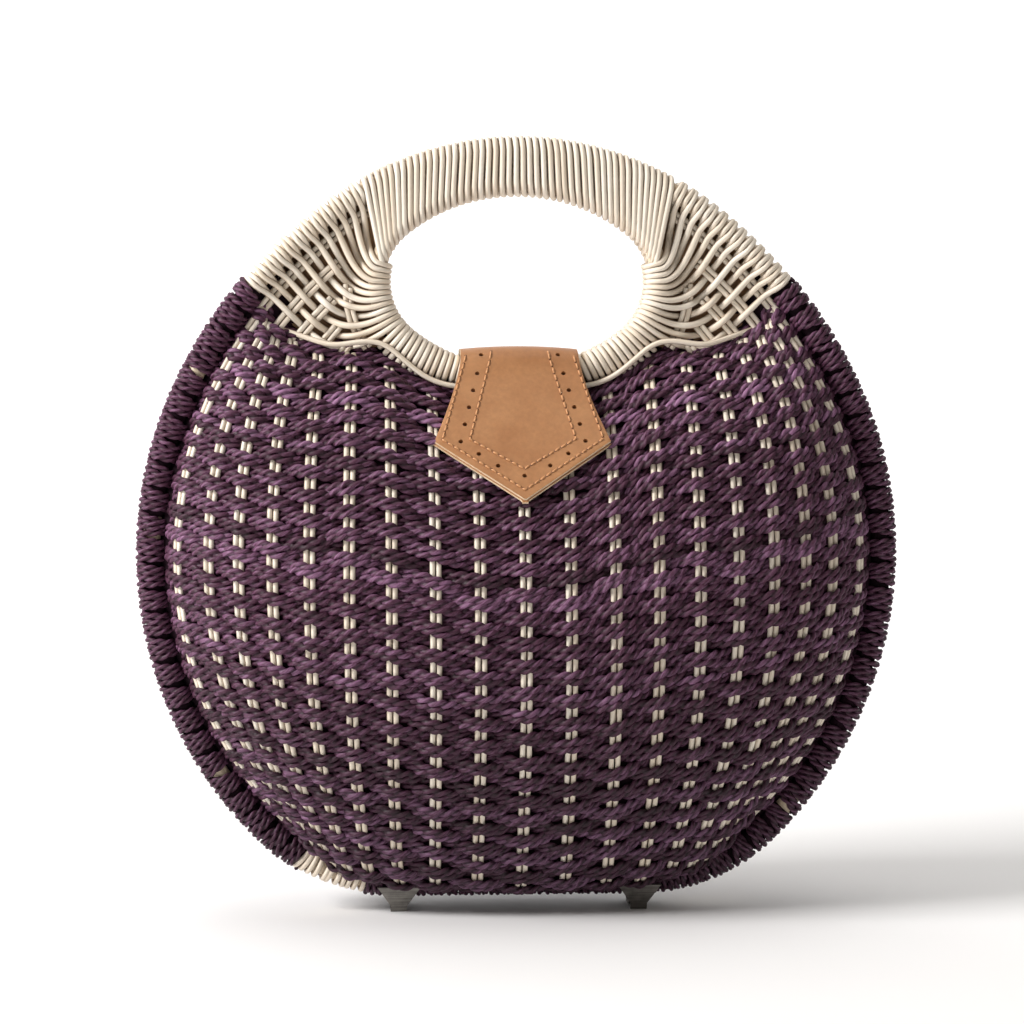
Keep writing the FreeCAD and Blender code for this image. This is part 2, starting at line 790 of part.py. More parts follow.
def bag_nodes():
    nodes = {}
    for name, shape in half_nodes().items():
        nodes["front_" + name] = shape
        nodes["back_" + name] = to_back(shape)
    for name, side in (("left", -1), ("right", 1)):
        x = side * hinge_distance
        first, middle, last = knuckle_spans(x)
        nodes["hinge_" + name + "_front_leaf"] = hinge_leaf(x, [first, last])
        nodes["hinge_" + name + "_back_leaf"] = to_back(hinge_leaf(x, [middle]))
        nodes["hinge_" + name + "_pin"] = pin_bar(x, pin_radius)
    nodes["flap_outer"] = flap_outer()
    nodes["flap_inner"] = flap_inner()
    nodes["flap_magnet"] = slope_disc(magnet_radius, 0.0, magnet_drop, -magnet_thickness, 0.0)
    snap_top = shell_lift(magnet_drop) + snap_rise
    nodes["front_snap"] = slope_disc(magnet_radius, 0.0, magnet_drop, snap_top - snap_depth, snap_top)
    nodes["flap_anchor"] = to_back(cut_for_rivets(flap_anchor()))
    nodes["flap_anchor_rivets"] = to_back(Part.Compound(anchor_rivets()))
    return nodes


os.makedirs(NODE_FOLDER, exist_ok=True)
for node, solid in bag_nodes().items():
    box = solid.BoundBox
    print(node, solid.isValid(), len(solid.Solids), round(solid.Volume), [round(side) for side in (
        box.XMin, box.XMax, box.YMin, box.YMax, box.ZMin, box.ZMax)])
    solid.exportStep(NODE_FOLDER + "/" + node + ".step")
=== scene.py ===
import logging
import math
from collections.abc import Callable
from dataclasses import dataclass, field
from enum import Enum
from functools import cached_property

import bpy
import numpy as np
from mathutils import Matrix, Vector


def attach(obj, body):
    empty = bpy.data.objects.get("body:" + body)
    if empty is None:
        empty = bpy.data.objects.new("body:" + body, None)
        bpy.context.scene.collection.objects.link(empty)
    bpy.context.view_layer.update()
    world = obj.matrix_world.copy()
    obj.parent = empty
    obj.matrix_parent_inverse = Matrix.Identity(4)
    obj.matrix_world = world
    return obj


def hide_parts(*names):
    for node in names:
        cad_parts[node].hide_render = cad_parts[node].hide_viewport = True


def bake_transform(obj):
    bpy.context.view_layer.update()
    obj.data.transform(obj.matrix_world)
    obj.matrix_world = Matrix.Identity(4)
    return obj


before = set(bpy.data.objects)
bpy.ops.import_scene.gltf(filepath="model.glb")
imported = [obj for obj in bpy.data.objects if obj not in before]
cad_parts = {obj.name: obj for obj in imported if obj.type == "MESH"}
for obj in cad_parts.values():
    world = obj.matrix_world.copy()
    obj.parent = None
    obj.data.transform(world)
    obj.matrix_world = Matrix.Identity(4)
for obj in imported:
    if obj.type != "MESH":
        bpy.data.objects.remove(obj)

# Metres. +X is to the right as the front is seen, -Y to the front, +Z up, and the bag stands on Z = 0.
# Pieces of a half are made for the front half, and turned half round about Z for the back half.

Array = np.ndarray
Colour = tuple[float, float, float, float]
Triple = tuple[float, float, float]
Marks = tuple[tuple[float, float], ...]
Span = tuple[float, float]
LOG = logging.getLogger("bag")
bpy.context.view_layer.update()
UP = np.array([0.0, 0.0, 1.0])
FRONT = np.array([0.0, -1.0, 0.0])
SIDES = (-1, 1)
BLACK: Colour = (0.0, 0.0, 0.0, 1.0)


class Body(Enum):
    """Bodies of the bag that pieces ride on."""

    BACK = "back_half"
    FRONT = "front_half"
    FLAP = "flap"


class Slot(Enum):
    """Material slots of the record, passed along with the new pieces."""

    REED = "natural_reed"
    CORD = "dyed_cord"
    LEATHER = "tan_leather"


class Half(Enum):
    """The two halves of the bag, each with its body and the turn about Z that places it."""

    FRONT = ("front", Body.FRONT, 1.0)
    BACK = ("back", Body.BACK, -1.0)

    @property
    def label(self) -> str:
        """First word of the names of the half's pieces."""
        return self.value[0]

    @property
    def body(self) -> Body:
        """Body that the half's pieces ride on."""
        return self.value[1]

    @property
    def sign(self) -> float:
        """1 for the front half, and -1 for the back half, which is turned half round."""
        return self.value[2]

    def side_name(self, side: int) -> str:
        """Name of a side, left or right as the front is seen, after the half's turn."""
        return "left" if side * self.sign < 0 else "right"


def unit(vectors: Array) -> Array:
    """Vectors scaled to length 1 along the last axis."""
    return vectors / np.maximum(np.linalg.norm(vectors, axis=-1, keepdims=True), 1e-12)


def facing(way: Array, count: int) -> Array:
    """The same way for each of a number of points."""
    return np.tile(way, (count, 1))


def run_lengths(path: Array) -> Array:
    """Length along a path at each of its points, from 0."""
    steps = np.linalg.norm(np.diff(path, axis=0), axis=1)
    return np.concatenate([[0.0], np.cumsum(steps)])


def resample(path: Array, step: float) -> Array:
    """Points evenly spaced along a path.

    Args:
        path: Points, one per row.
        step: Wished distance between the new points.

    Returns:
        The new points, with both ends kept.
    """
    lengths = run_lengths(path)
    count = max(2, int(round(lengths[-1] / step)) + 1)
    places = np.linspace(0.0, lengths[-1], count)
    return np.column_stack([np.interp(places, lengths, path[:, axis]) for axis in range(3)])


def eased(places: Array, knots: Array, values: Array) -> Array:
    """Values between knots, level at each knot and smooth between.

    Args:
        places: Where values are wanted.
        knots: Rising places of the knots.
        values: Values at the knots.

    Returns:
        One value for each place.
    """
    index = np.clip(np.searchsorted(knots, places, side="right") - 1, 0, len(knots) - 2)
    share = np.clip((places - knots[index]) / (knots[index + 1] - knots[index]), 0.0, 1.0)
    return values[index] + (values[index + 1] - values[index]) * (1 - np.cos(math.pi * share)) / 2


def drift(draw: np.random.Generator, knots: int, places: Array) -> Array:
    """Smooth chance curve with a spread of about 1, read at shares from 0 to 1."""
    return eased(places, np.linspace(0.0, 1.0, knots + 1), draw.standard_normal(knots + 1))


@dataclass(frozen=True)
class Bend:
    """One bend of a cane's middle line in front view: its centre, radius and two headings in degrees."""

    x: float
    z: float
    radius: float
    start: float
    end: float


@dataclass(frozen=True)
class CaneLine:
    """Middle line of a bent cane in front view, alike on both sides: a straight foot, then bends.

    A heading is the way in which the right side runs: 0 along the foot, 90 up and 180 at the top.
    """

    bends: tuple[Bend, ...]
    foot: float = 0.0

    @cached_property
    def table(self) -> dict[str, Array]:
        """Columns of the bends' sizes, and the lengths from the foot's middle at which they end.

        Returns:
            The columns by name.
        """
        columns = {name: np.array([getattr(bend, name) for bend in self.bends]) for name in
                   ("x", "z", "radius", "start", "end")}
        spans = columns["radius"] * np.radians(columns["end"] - columns["start"])
        columns["length"] = self.foot + np.concatenate([[0.0], np.cumsum(spans)])
        columns["heading"] = np.concatenate([[0.0], columns["end"]])
        return columns

    def length_at(self, heading: float) -> float:
        """Length from the middle of the foot to a heading."""
        return float(np.interp(heading, self.table["heading"], self.table["length"]))

    def at(self, reach: Array) -> tuple[Array, Array]:
        """Points of the line by signed length from the middle of the foot.

        Args:
            reach: Lengths, negative to the left.

        Returns:
            Points in X and Z, one per row, and their headings in radians, signed as the lengths are.
        """
        table, size, side = self.table, np.abs(reach), np.where(reach < 0, -1.0, 1.0)
        heading = np.interp(size, table["length"], table["heading"])
        index = np.clip(np.searchsorted(table["end"], heading), 0, len(self.bends) - 1)
        turned = np.radians(heading)
        x = table["x"][index] + table["radius"][index] * np.sin(turned)
        z = table["z"][index] - table["radius"][index] * np.cos(turned)
        x = np.where(size < self.foot, size, x)
        return np.column_stack([side * x, z]), side * turned

    def half_width(self, height: Array, inset: Array | float) -> Array:
        """Half the width inside the line.

        Args:
            height: Heights at which the width is wanted.
            inset: How far the line is moved inwards.

        Returns:
            One half width for each height.
        """
        table, inset = self.table, np.broadcast_to(inset, np.shape(height))
        column = (-1,) + (1,) * np.ndim(height)
        ends = np.cos(np.radians(table["end"])).reshape(column)
        tops = table["z"].reshape(column) - (table["radius"].reshape(column) - inset) * ends
        index = np.sum(height > tops[:-1], axis=0)
        spare = (table["radius"][index] - inset) ** 2 - (height - table["z"][index]) ** 2
        return table["x"][index] + np.sqrt(np.maximum(spare, 0.0))


@dataclass(frozen=True)
class BagForm:
    """Sizes and curves that the pieces share, the same as the solids have but for the edges of the weave.

    Headings and angles are in degrees. A share across runs from -1 to 1 along a row of the shell, and a share up
    from 0 to 1 along a stake.
    """

    foot_half_length: float = 0.0492
    foot_height: float = 0.0121
    hoop_bends: Marks = ((0.0693, 44.2), (0.1526, 72.1), (0.1856, 27.3))
    ring_half_width: float = 0.0555
    ring_half_height: float = 0.0388
    ring_end_radius: float = 0.030
    crown_spacing: float = 0.0124
    cane_radius: float = 0.0034
    reed_radius: float = 0.0011
    wrap_radius: float = 0.0056
    rim_radius: float = 0.0065
    rim_offset: float = 0.0067
    shell_line: float = 0.0067
    piece_gap: float = 0.0002
    shell_depth: float = 0.060
    shell_root: float = 0.001
    side_root: float = 0.005
    corner_lift: float = 0.008
    stake_inset: float = 0.0035
    cord_end_heading: float = 130.0
    pairs_each_side: int = 9
    fan_angle: float = 58.0
    fan_limit: float = 60.0
    fan_power: float = 3.0
    belly_share: float = 0.45
    top_round_share: float = 0.25
    top_swell: float = 0.0065
    top_swell_place: float = 0.42
    top_swell_share: float = 0.16
    across_power: float = 2.4
    side_fullness: float = 0.42
    lower_fullness: float = 0.5
    upper_fullness: float = 0.66
    foot_droop: float = 0.0155
    foot_droop_share: float = 0.03
    foot_droop_power: int = 4
    edge_share: float = 0.11
    end_share: float = 0.035
    normal_step: float = 0.002

    @cached_property
    def hoop(self) -> CaneLine:
        """Middle line of a half's hoop, closed by the crown.

        Returns:
            The line, with each bend starting where the one before ends.
        """
        bends, x, z, heading = [], self.foot_half_length, self.foot_height, 0.0
        for radius, turn in self.hoop_bends:
            start, end = math.radians(heading), math.radians(heading + turn)
            bends.append(Bend(x - radius * math.sin(start), z + radius * math.cos(start), radius, heading,
                              heading + turn))
            heading += turn
            x = bends[-1].x + radius * math.sin(end)
            z = bends[-1].z - radius * math.cos(end)
        crown = x / math.sin(math.radians(heading))
        bends.append(Bend(0.0, z + crown * math.cos(math.radians(heading)), crown, heading, 180.0))
        return CaneLine(tuple(bends), self.foot_half_length)

    @cached_property
    def hoop_top(self) -> float:
        """Height of the hoop's middle line at the crown."""
        return self.hoop.bends[-1].z + self.hoop.bends[-1].radius

    @cached_property
    def ring_middle(self) -> float:
        """Height of the middle of the hand opening."""
        return self.hoop_top - self.crown_spacing - self.ring_half_height

    @cached_property
    def ring(self) -> CaneLine:
        """Middle line of the ring round the hand opening.

        Returns:
            The line: a flat bend below, a round end on each side and a flat bend above.
        """
        offset = self.ring_half_width - self.ring_end_radius
        low = self.ring_half_height ** 2 - self.ring_end_radius ** 2 + offset ** 2
        flat = low / (2 * (self.ring_half_height - self.ring_end_radius))
        lift = flat - self.ring_half_height
        turn = math.degrees(math.atan2(offset, lift))
        return CaneLine((Bend(0.0, self.ring_middle + lift, flat, 0.0, turn),
                         Bend(offset, self.ring_middle, self.ring_end_radius, turn, 180.0 - turn),
                         Bend(0.0, self.ring_middle - lift, flat, 180.0 - turn, 180.0)))

    @cached_property
    def ring_foot(self) -> float:
        """Height of the ring's middle line at its lowest place."""
        return self.ring_middle - self.ring_half_height

    @cached_property
    def cord_end(self) -> float:
        """Length along the hoop from the middle of the foot to the end of its purple cord."""
        return self.hoop.length_at(self.cord_end_heading)

    def cane_points(self, line: CaneLine, reach: Array) -> tuple[Array, Array]:
        """Points on a cane's middle line in the front half's plane.

        Args:
            line: The cane's line in front view.
            reach: Signed lengths along it.

        Returns:
            Points, and for each the way out of the cane's bend.
        """
        points, heading = line.at(reach)
        level = np.zeros(len(points))
        middle = np.column_stack([points[:, 0], level - self.rim_offset, points[:, 1]])
        return middle, np.column_stack([np.sin(heading), level, -np.cos(heading)])

    def weave_top(self, across: Array) -> Array:
        """Height of the weave's top edge.

        Args:
            across: Shares across.

        Returns:
            One height for each share.
        """
        middle = self.ring_foot - self.wrap_radius - self.piece_gap
        point, heading = self.hoop.at(np.array([self.cord_end]))
        side = point[0, 1] + self.shell_line * math.cos(heading[0])
        whole = math.hypot(1, self.top_round_share) - self.top_round_share
        swell = np.exp(-((np.abs(across) - self.top_swell_place) / self.top_swell_share) ** 2)
        rise = (np.hypot(across, self.top_round_share) - self.top_round_share) / whole
        return middle + (side - middle) * rise + self.top_swell * swell

    def sheet_inset(self, across: Array, up: Array) -> Array:
        """Inset of the weave's middle sheet, which runs out to the shell's outer face along its edges.

        Args:
            across: Shares across.
            up: Shares up, of the same shape.

        Returns:
            One inset for each place.
        """
        ends = np.minimum(up, 1 - up) / self.end_share
        share = np.clip(np.minimum((1 - np.abs(across)) / self.edge_share, ends), 0.0, 1.0)
        return self.stake_inset * share * (2 - share)

    def sheet(self, across: Array, up: Array) -> Array:
        """Points of the weave's middle sheet."""
        return self.shell(across, up, self.sheet_inset(across, up))

    def shell(self, across: Array, up: Array, inset: Array | float) -> Array:
        """Points of the shell.

        Args:
            across: Shares across.
            up: Shares up, of the same shape.
            inset: How far the shell is moved inwards.

        Returns:
            Points, with X, Y and Z along the last axis.
        """
        low = self.foot_height + self.shell_line + self.corner_lift * across ** 2 + inset
        z = low + (self.weave_top(across) - inset - low) * up
        edge = self.hoop.half_width(z, self.shell_line + inset)
        side = self.hoop.bends[1]
        widest = side.x + side.radius - self.shell_line - inset
        flat = across * widest
        squeeze = edge ** -self.fan_power - widest ** -self.fan_power
        x = flat * (1 + np.abs(flat) ** self.fan_power * squeeze) ** (-1 / self.fan_power)
        swell = np.maximum(1 - np.abs(x / edge) ** self.across_power, 0.0) ** self.side_fullness
        below = np.clip((self.belly_share - up) / self.belly_share, 0.0, 1.0)
        above = np.clip((up - self.belly_share) / (1 - self.belly_share), 0.0, 1.0)
        swell = swell * (1 - below ** 2) ** self.lower_fullness * (1 - above ** 2) ** self.upper_fullness
        root = self.shell_root + self.side_root * across ** 2
        y = root + (self.shell_depth - inset - root) * swell
        reach = np.maximum(up, 0.0) / self.foot_droop_share
        z = z - self.foot_droop * reach * np.exp(1 - reach) * (1 - across ** self.foot_droop_power)
        return np.stack([x, -y, z], axis=-1)

    def shell_normal(self, across: Array, up: Array, inset: float) -> Array:
        """Ways out of the shell.

        Args:
            across: Shares across.
            up: Shares up, of the same shape.
            inset: How far the shell is moved inwards.

        Returns:
            A way of length 1 for each point that shell() gives.
        """
        near = self.normal_step
        left, right = np.maximum(across - near, -1.0), np.minimum(across + near, 1.0)
        low, high = np.maximum(up - near, 0.0), np.minimum(up + near, 1.0)
        along = self.shell(right, up, inset) - self.shell(left, up, inset)
        rise = self.shell(across, high, inset) - self.shell(across, low, inset)
        return unit(np.cross(along, rise))

    def column_at(self, across: Array) -> Array:
        """Number of the stake pair, counted from the middle one, at a share across; whole at a pair."""
        angle = np.degrees(np.arcsin(np.clip(across * math.sin(math.radians(self.fan_limit)), -1.0, 1.0)))
        return self.pairs_each_side * angle / self.fan_angle

    def across_of(self, column: float) -> float:
        """Share across of a stake pair by its number."""
        angle = math.radians(self.fan_angle * column / self.pairs_each_side)
        return math.sin(angle) / math.sin(math.radians(self.fan_limit))


@dataclass(frozen=True)
class Section:
    """Cross-section of a strand: one round ply, or two plies twisted together.

    Spread is the distance of a ply's middle from the strand's, as a share of the ply's radius, lay the length of a
    full twist, and width how much wider the strand is along the surface that it lies on than it is thick. Crest gain
    sets how much of a round strand counts as its ridge; its sides, where it meets its neighbours, count as groove and
    take painted shade.
    """

    sides: int = 8
    spread: float = 0.0
    lay: float = 0.0
    width: float = 1.0
    crest_gain: float = 1.8

    def outline(self) -> tuple[Array, Array, Array]:
        """Outline of the section.

        Returns:
            Angles, distances from the middle as shares of the radius, and 1 on ridges to 0 in grooves.
        """
        around = 2 * math.pi * np.arange(self.sides) / self.sides
        if not self.lay:
            return around, np.ones(self.sides), np.clip(self.crest_gain * np.abs(np.cos(around)), 0.0, 1.0)
        reach = self.spread * np.abs(np.cos(around)) + np.sqrt(1 - (self.spread * np.sin(around)) ** 2)
        reach = reach / (1 + self.spread)
        return around, reach, (reach - reach.min()) / (1 - reach.min())


class NodeTree:
    """Places and links shader nodes in one tree."""

    def __init__(self, tree: bpy.types.NodeTree) -> None:
        """Takes the tree to work in."""
        self.tree = tree

    def add(self, kind: str, inputs: dict | None = None, **settings: object) -> bpy.types.Node:
        """Adds a node.

        Args:
            kind: Type name of the node.
            inputs: For named or numbered sockets, a value, or the output socket to link from.
            settings: Properties of the node.

        Returns:
            The new node.
        """
        node = self.tree.nodes.new(kind)
        for name, value in settings.items():
            setattr(node, name, value)
        for name, value in (inputs or {}).items():
            if isinstance(value, bpy.types.NodeSocket):
                self.tree.links.new(value, node.inputs[name])
            else:
                node.inputs[name].default_value = value
        return node

    def place(self) -> bpy.types.NodeSocket:
        """Output of the Object coordinates."""
        return self.add("ShaderNodeTexCoord").outputs["Object"]

    def axis(self, number: int) -> bpy.types.NodeSocket:
        """Output of one of the Object coordinates, 0 to 2 for X to Z."""
        return self.add("ShaderNodeSeparateXYZ", {0: self.place()}).outputs[number]

    def attribute(self, name: str) -> bpy.types.NodeSocket:
        """Output of a surface value of the piece."""
        return self.add("ShaderNodeAttribute", attribute_name=name).outputs["Fac"]

    def math(self, operation: str, first: object, second: object = 0.0) -> bpy.types.NodeSocket:
        """Output of a sum on two numbers or sockets."""
        return self.add("ShaderNodeMath", {0: first, 1: second}, operation=operation).outputs[0]

    def weighed(self, first: object, share: float, second: object, other: float) -> bpy.types.NodeSocket:
        """Output of the sum of two values, each times its share."""
        return self.math("ADD", self.math("MULTIPLY", first, share), self.math("MULTIPLY", second, other))

    def mix(self, share: object, first: object, second: object, blend: str = "MIX") -> bpy.types.NodeSocket:
        """Output of a mix of two colours."""
        node = self.add("ShaderNodeMix", {0: share, 6: first, 7: second}, data_type="RGBA", blend_type=blend)
        return node.outputs[2]

    def noise(self, place: object, scale: float, detail: float, roughness: float = 0.5) -> bpy.types.NodeSocket:
        """Output of a noise texture."""
        return self.add("ShaderNodeTexNoise", {"Vector": place, "Scale": scale, "Detail": detail,
                                               "Roughness": roughness}).outputs[0]

    def spread(self, value: object, to: Span, ends: Span = (0.0, 1.0)) -> bpy.types.NodeSocket:
        """Output of a value whose range between two ends is spread to another range."""
        return self.add("ShaderNodeMapRange", {0: value, 1: ends[0], 2: ends[1], 3: to[0], 4: to[1]}).outputs[0]

    def bump(self, height: object, share: float, distance: float) -> bpy.types.NodeSocket:
        """Output of a bump by a height."""
        return self.add("ShaderNodeBump", {"Height": height, "Strength": share, "Distance": distance}).outputs[0]

    def ramp(self, value: object, stops: list[tuple[float, Colour]]) -> bpy.types.NodeSocket:
        """Output of a colour ramp over a value.

        Args:
            value: The value.
            stops: Places and colours, in rising order.

        Returns:
            The colour's socket.
        """
        node = self.add("ShaderNodeValToRGB", {0: value})
        elements = node.color_ramp.elements
        while len(elements) < len(stops):
            elements.new(1.0)
        for element, (place, colour) in zip(elements, stops):
            element.position = place
            element.color = colour
        return node.outputs[0]

    def feed(self, shader: bpy.types.Node, colour: object, rough: object, bump: object) -> None:
        """Links colour, roughness and bump to a shader."""
        for name, socket in (("Base Color", colour), ("Roughness", rough), ("Normal", bump)):
            self.tree.links.new(socket, shader.inputs[name])


def linear(red: int, green: int, blue: int) -> Colour:
    """Linear colour of a screen colour.

    Args:
        red: Red from 0 to 255.
        green: Green from 0 to 255.
        blue: Blue from 0 to 255.

    Returns:
        The colour, opaque.
    """
    def one(value: int) -> float:
        """Linear value of one channel, by the sRGB curve."""
        share = value / 255
        return share / 12.92 if share <= 0.04045 else ((share + 0.055) / 1.055) ** 2.4
    return one(red), one(green), one(blue), 1.0


@dataclass(frozen=True)
class FibreGroup:
    """Node group of fine fibres that run along a strand, from its own UV map, other for each tone."""

    name: str = "strand fibres"
    uv_map: str = "strand"
    tone_shift: float = 97.0
    fine_scale: float = 3.1

    def tree(self) -> bpy.types.NodeTree:
        """The group, made at first use.

        Returns:
            The group, with inputs for fibres round the strand and per metre, and outputs Streak and Fine.
        """
        if self.name in bpy.data.node_groups:
            return bpy.data.node_groups[self.name]
        group = bpy.data.node_groups.new(self.name, "ShaderNodeTree")
        for label, way in (("Round", "INPUT"), ("Along", "INPUT"), ("Streak", "OUTPUT"), ("Fine", "OUTPUT")):
            group.interface.new_socket(label, in_out=way, socket_type="NodeSocketFloat")
        sheet = NodeTree(group)
        given = sheet.add("NodeGroupInput")
        parts = sheet.add("ShaderNodeSeparateXYZ", {0: sheet.add("ShaderNodeUVMap", uv_map=self.uv_map).outputs[0]})
        u = sheet.math("MULTIPLY", parts.outputs[0], given.outputs["Round"])
        v = sheet.math("MULTIPLY", parts.outputs[1], given.outputs["Along"])
        w = sheet.math("MULTIPLY", sheet.attribute("tone"), self.tone_shift)
        spot = sheet.add("ShaderNodeCombineXYZ", {0: u, 1: v, 2: w}).outputs[0]
        sheet.add("NodeGroupOutput", {"Streak": sheet.noise(spot, 1.0, detail=3.0, roughness=0.6),
                                      "Fine": sheet.noise(spot, self.fine_scale, detail=2.0)})
        return group


FIBRES = FibreGroup()


@dataclass(frozen=True)
class Finish:
    """Finish of a surface, made into a material once and shared by its pieces."""

    name: str

    def material(self) -> bpy.types.Material:
        """The finish's material, made at first use.

        Returns:
            The material.
        """
        if self.name not in bpy.data.materials:
            material = bpy.data.materials.new(self.name)
            material.use_nodes = True
            self.dress(NodeTree(material.node_tree), material.node_tree.nodes["Principled BSDF"])
        return bpy.data.materials[self.name]

    def dress(self, sheet: NodeTree, shader: bpy.types.Node) -> None:
        """Adds the finish's nodes before the shader."""
        raise NotImplementedError


@dataclass(frozen=True)
class StrandFinish(Finish):
    """Round or twisted strand, coloured by its tone, with painted shade in its grooves, and fibres along it.

    Its colour runs from dark over middle to light, by the strand's tone and its fibres. Painted shade at the foot is
    the share of the colour that is left at the standing plane, from where it rises to all of it: a painted shade that
    makes the strand darker towards the foot.
    """

    dark: Colour = BLACK
    middle: Colour = BLACK
    light: Colour = BLACK
    painted_groove_shade: Colour = BLACK
    fibres_round: float = 7.0
    fibres_along: float = 60.0
    roughness: Span = (0.45, 0.7)
    bump_share: float = 0.25
    bump_height: float = 0.0002
    shine: float = 0.5
    tone_share: float = 0.55
    fibre_share: float = 0.9
    fibre_middle: float = 0.25
    stops: tuple[float, float, float] = (0.15, 0.5, 0.85)
    painted_groove_shade_power: float = 0.6
    painted_shade_at_foot: float = 1.0
    painted_shade_at_foot_height: float = 0.13
    painted_shade_at_foot_colour: Colour = linear(14, 6, 10)

    def dress(self, sheet: NodeTree, shader: bpy.types.Node) -> None:
        """Adds the strand's colour, roughness and bump.

        Args:
            sheet: Nodes of the material.
            shader: Its shader.
        """
        group = sheet.add("ShaderNodeGroup", node_tree=FIBRES.tree())
        group.inputs["Round"].default_value = self.fibres_round
        group.inputs["Along"].default_value = self.fibres_along
        streak = group.outputs["Streak"]
        level = sheet.weighed(sheet.attribute("tone"), self.tone_share,
                              sheet.math("SUBTRACT", streak, self.fibre_middle), self.fibre_share)
        colour = sheet.ramp(level, list(zip(self.stops, (self.dark, self.middle, self.light))))
        # Painted shade: the groove colour is mixed in where crest is low, in the grooves between plies and on the
        # sides of round strands where they meet.
        depth = sheet.math("POWER", sheet.attribute("crest"), self.painted_groove_shade_power)
        colour = sheet.mix(depth, self.painted_groove_shade, colour)
        # Painted shade: the colour darkens towards the standing plane, where the belly's underside is in shade.
        if self.painted_shade_at_foot < 1.0:
            shade = sheet.spread(sheet.axis(2), (self.painted_shade_at_foot, 1.0), (0.0, self.painted_shade_at_foot_height))
            colour = sheet.mix(shade, self.painted_shade_at_foot_colour, colour)
        sheet.feed(shader, colour, sheet.spread(group.outputs["Fine"], self.roughness),
                   sheet.bump(streak, self.bump_share, self.bump_height))
        shader.inputs["Specular IOR Level"].default_value = self.shine


@dataclass(frozen=True)
class LeatherFinish(Finish):
    """Smooth skin, such as leather or bare cane, with a fine grain and soft clouds of colour."""

    base: Colour = BLACK
    light: Colour = BLACK
    grain_scale: float = 900.0
    cloud_scale: float = 45.0
    roughness: Span = (0.38, 0.55)
    bump_share: float = 0.12
    bump_height: float = 0.0002
    shine: float = 0.5
    fine_scale_share: float = 0.6
    cloud_ends: Span = (0.35, 0.68)
    speck: Span = (0.9, 1.06)
    speck_ends: Span = (0.3, 0.7)
    pore_share: float = 0.6
    fine_share: float = 0.4

    def dress(self, sheet: NodeTree, shader: bpy.types.Node) -> None:
        """Adds the skin's colour, roughness and grain.

        Args:
            sheet: Nodes of the material.
            shader: Its shader.
        """
        place = sheet.place()
        cloud = sheet.noise(place, self.cloud_scale, detail=4.0, roughness=0.6)
        pores = sheet.add("ShaderNodeTexVoronoi", {"Vector": place, "Scale": self.grain_scale}).outputs[0]
        fine = sheet.noise(place, self.grain_scale * self.fine_scale_share, detail=3.0, roughness=0.6)
        colour = sheet.mix(sheet.spread(cloud, (0.0, 1.0), self.cloud_ends), self.base, self.light)
        colour = sheet.mix(1.0, colour, sheet.spread(fine, self.speck, self.speck_ends), "MULTIPLY")
        height = sheet.weighed(pores, self.pore_share, fine, self.fine_share)
        sheet.feed(shader, colour, sheet.spread(fine, self.roughness),
                   sheet.bump(height, self.bump_share, self.bump_height))
        shader.inputs["Specular IOR Level"].default_value = self.shine


@dataclass(frozen=True)
class SteelFinish(Finish):
    """Dull sheet steel, brushed along X, with small marks of wear."""

    base: Colour = BLACK
    light: Colour = BLACK
    brush_scale: Triple = (60.0, 1500.0, 1500.0)
    mark_scale: float = 320.0
    line_share: float = 0.6
    mark_share: float = 0.4
    colour_ends: Span = (0.3, 0.7)
    roughness: Span = (0.28, 0.52)
    bump_share: float = 0.08
    bump_height: float = 0.0001

    def dress(self, sheet: NodeTree, shader: bpy.types.Node) -> None:
        """Adds the steel's colour, brushing and marks.

        Args:
            sheet: Nodes of the material.
            shader: Its shader.
        """
        place = sheet.place()
        brushed = sheet.add("ShaderNodeMapping", {"Vector": place, "Scale": self.brush_scale}).outputs[0]
        line, mark = sheet.noise(brushed, 1.0, detail=4.0), sheet.noise(place, self.mark_scale, detail=3.0)
        both = sheet.weighed(line, self.line_share, mark, self.mark_share)
        colour = sheet.mix(sheet.spread(both, (0.0, 1.0), self.colour_ends), self.base, self.light)
        sheet.feed(shader, colour, sheet.spread(mark, self.roughness),
                   sheet.bump(line, self.bump_share, self.bump_height))
        shader.inputs["Metallic"].default_value = 1.0


@dataclass(frozen=True)
class FloorFinish(Finish):
    """Matt white backdrop, which glows softly away from the bag."""

    colour: Colour = (0.9, 0.9, 0.9, 1.0)
    roughness: float = 0.9
    glow: float = 0.55
    glow_ends: Span = (0.15, 1.5)

    def dress(self, sheet: NodeTree, shader: bpy.types.Node) -> None:
        """Sets the backdrop's colour, roughness and glow.

        Args:
            sheet: Nodes of the material.
            shader: Its shader.
        """
        share = sheet.spread(sheet.axis(1), (0.0, 1.0), self.glow_ends)
        glow = sheet.mix(share, BLACK, (self.glow, self.glow, self.glow, 1.0))
        sheet.tree.links.new(glow, shader.inputs["Emission Color"])
        shader.inputs["Emission Strength"].default_value = 1.0
        shader.inputs["Base Color"].default_value = self.colour
        shader.inputs["Roughness"].default_value = self.roughness


# The groove colours below are painted shade, laid in the grooves of twisted cords and between round strands.
PURPLE_CORD = StrandFinish(
    "purple cord", dark=linear(46, 24, 33), middle=linear(84, 47, 68), light=linear(158, 114, 150),
    painted_groove_shade=linear(24, 11, 16), fibres_round=9.0, fibres_along=260.0, roughness=(0.4, 0.64), bump_share=0.5,
    bump_height=0.00035, shine=0.3, painted_shade_at_foot=0.52)
CREAM_REED = StrandFinish(
    "cream reed", dark=linear(216, 198, 174), middle=linear(234, 221, 202), light=linear(244, 236, 222),
    painted_groove_shade=linear(112, 82, 56), roughness=(0.42, 0.62))
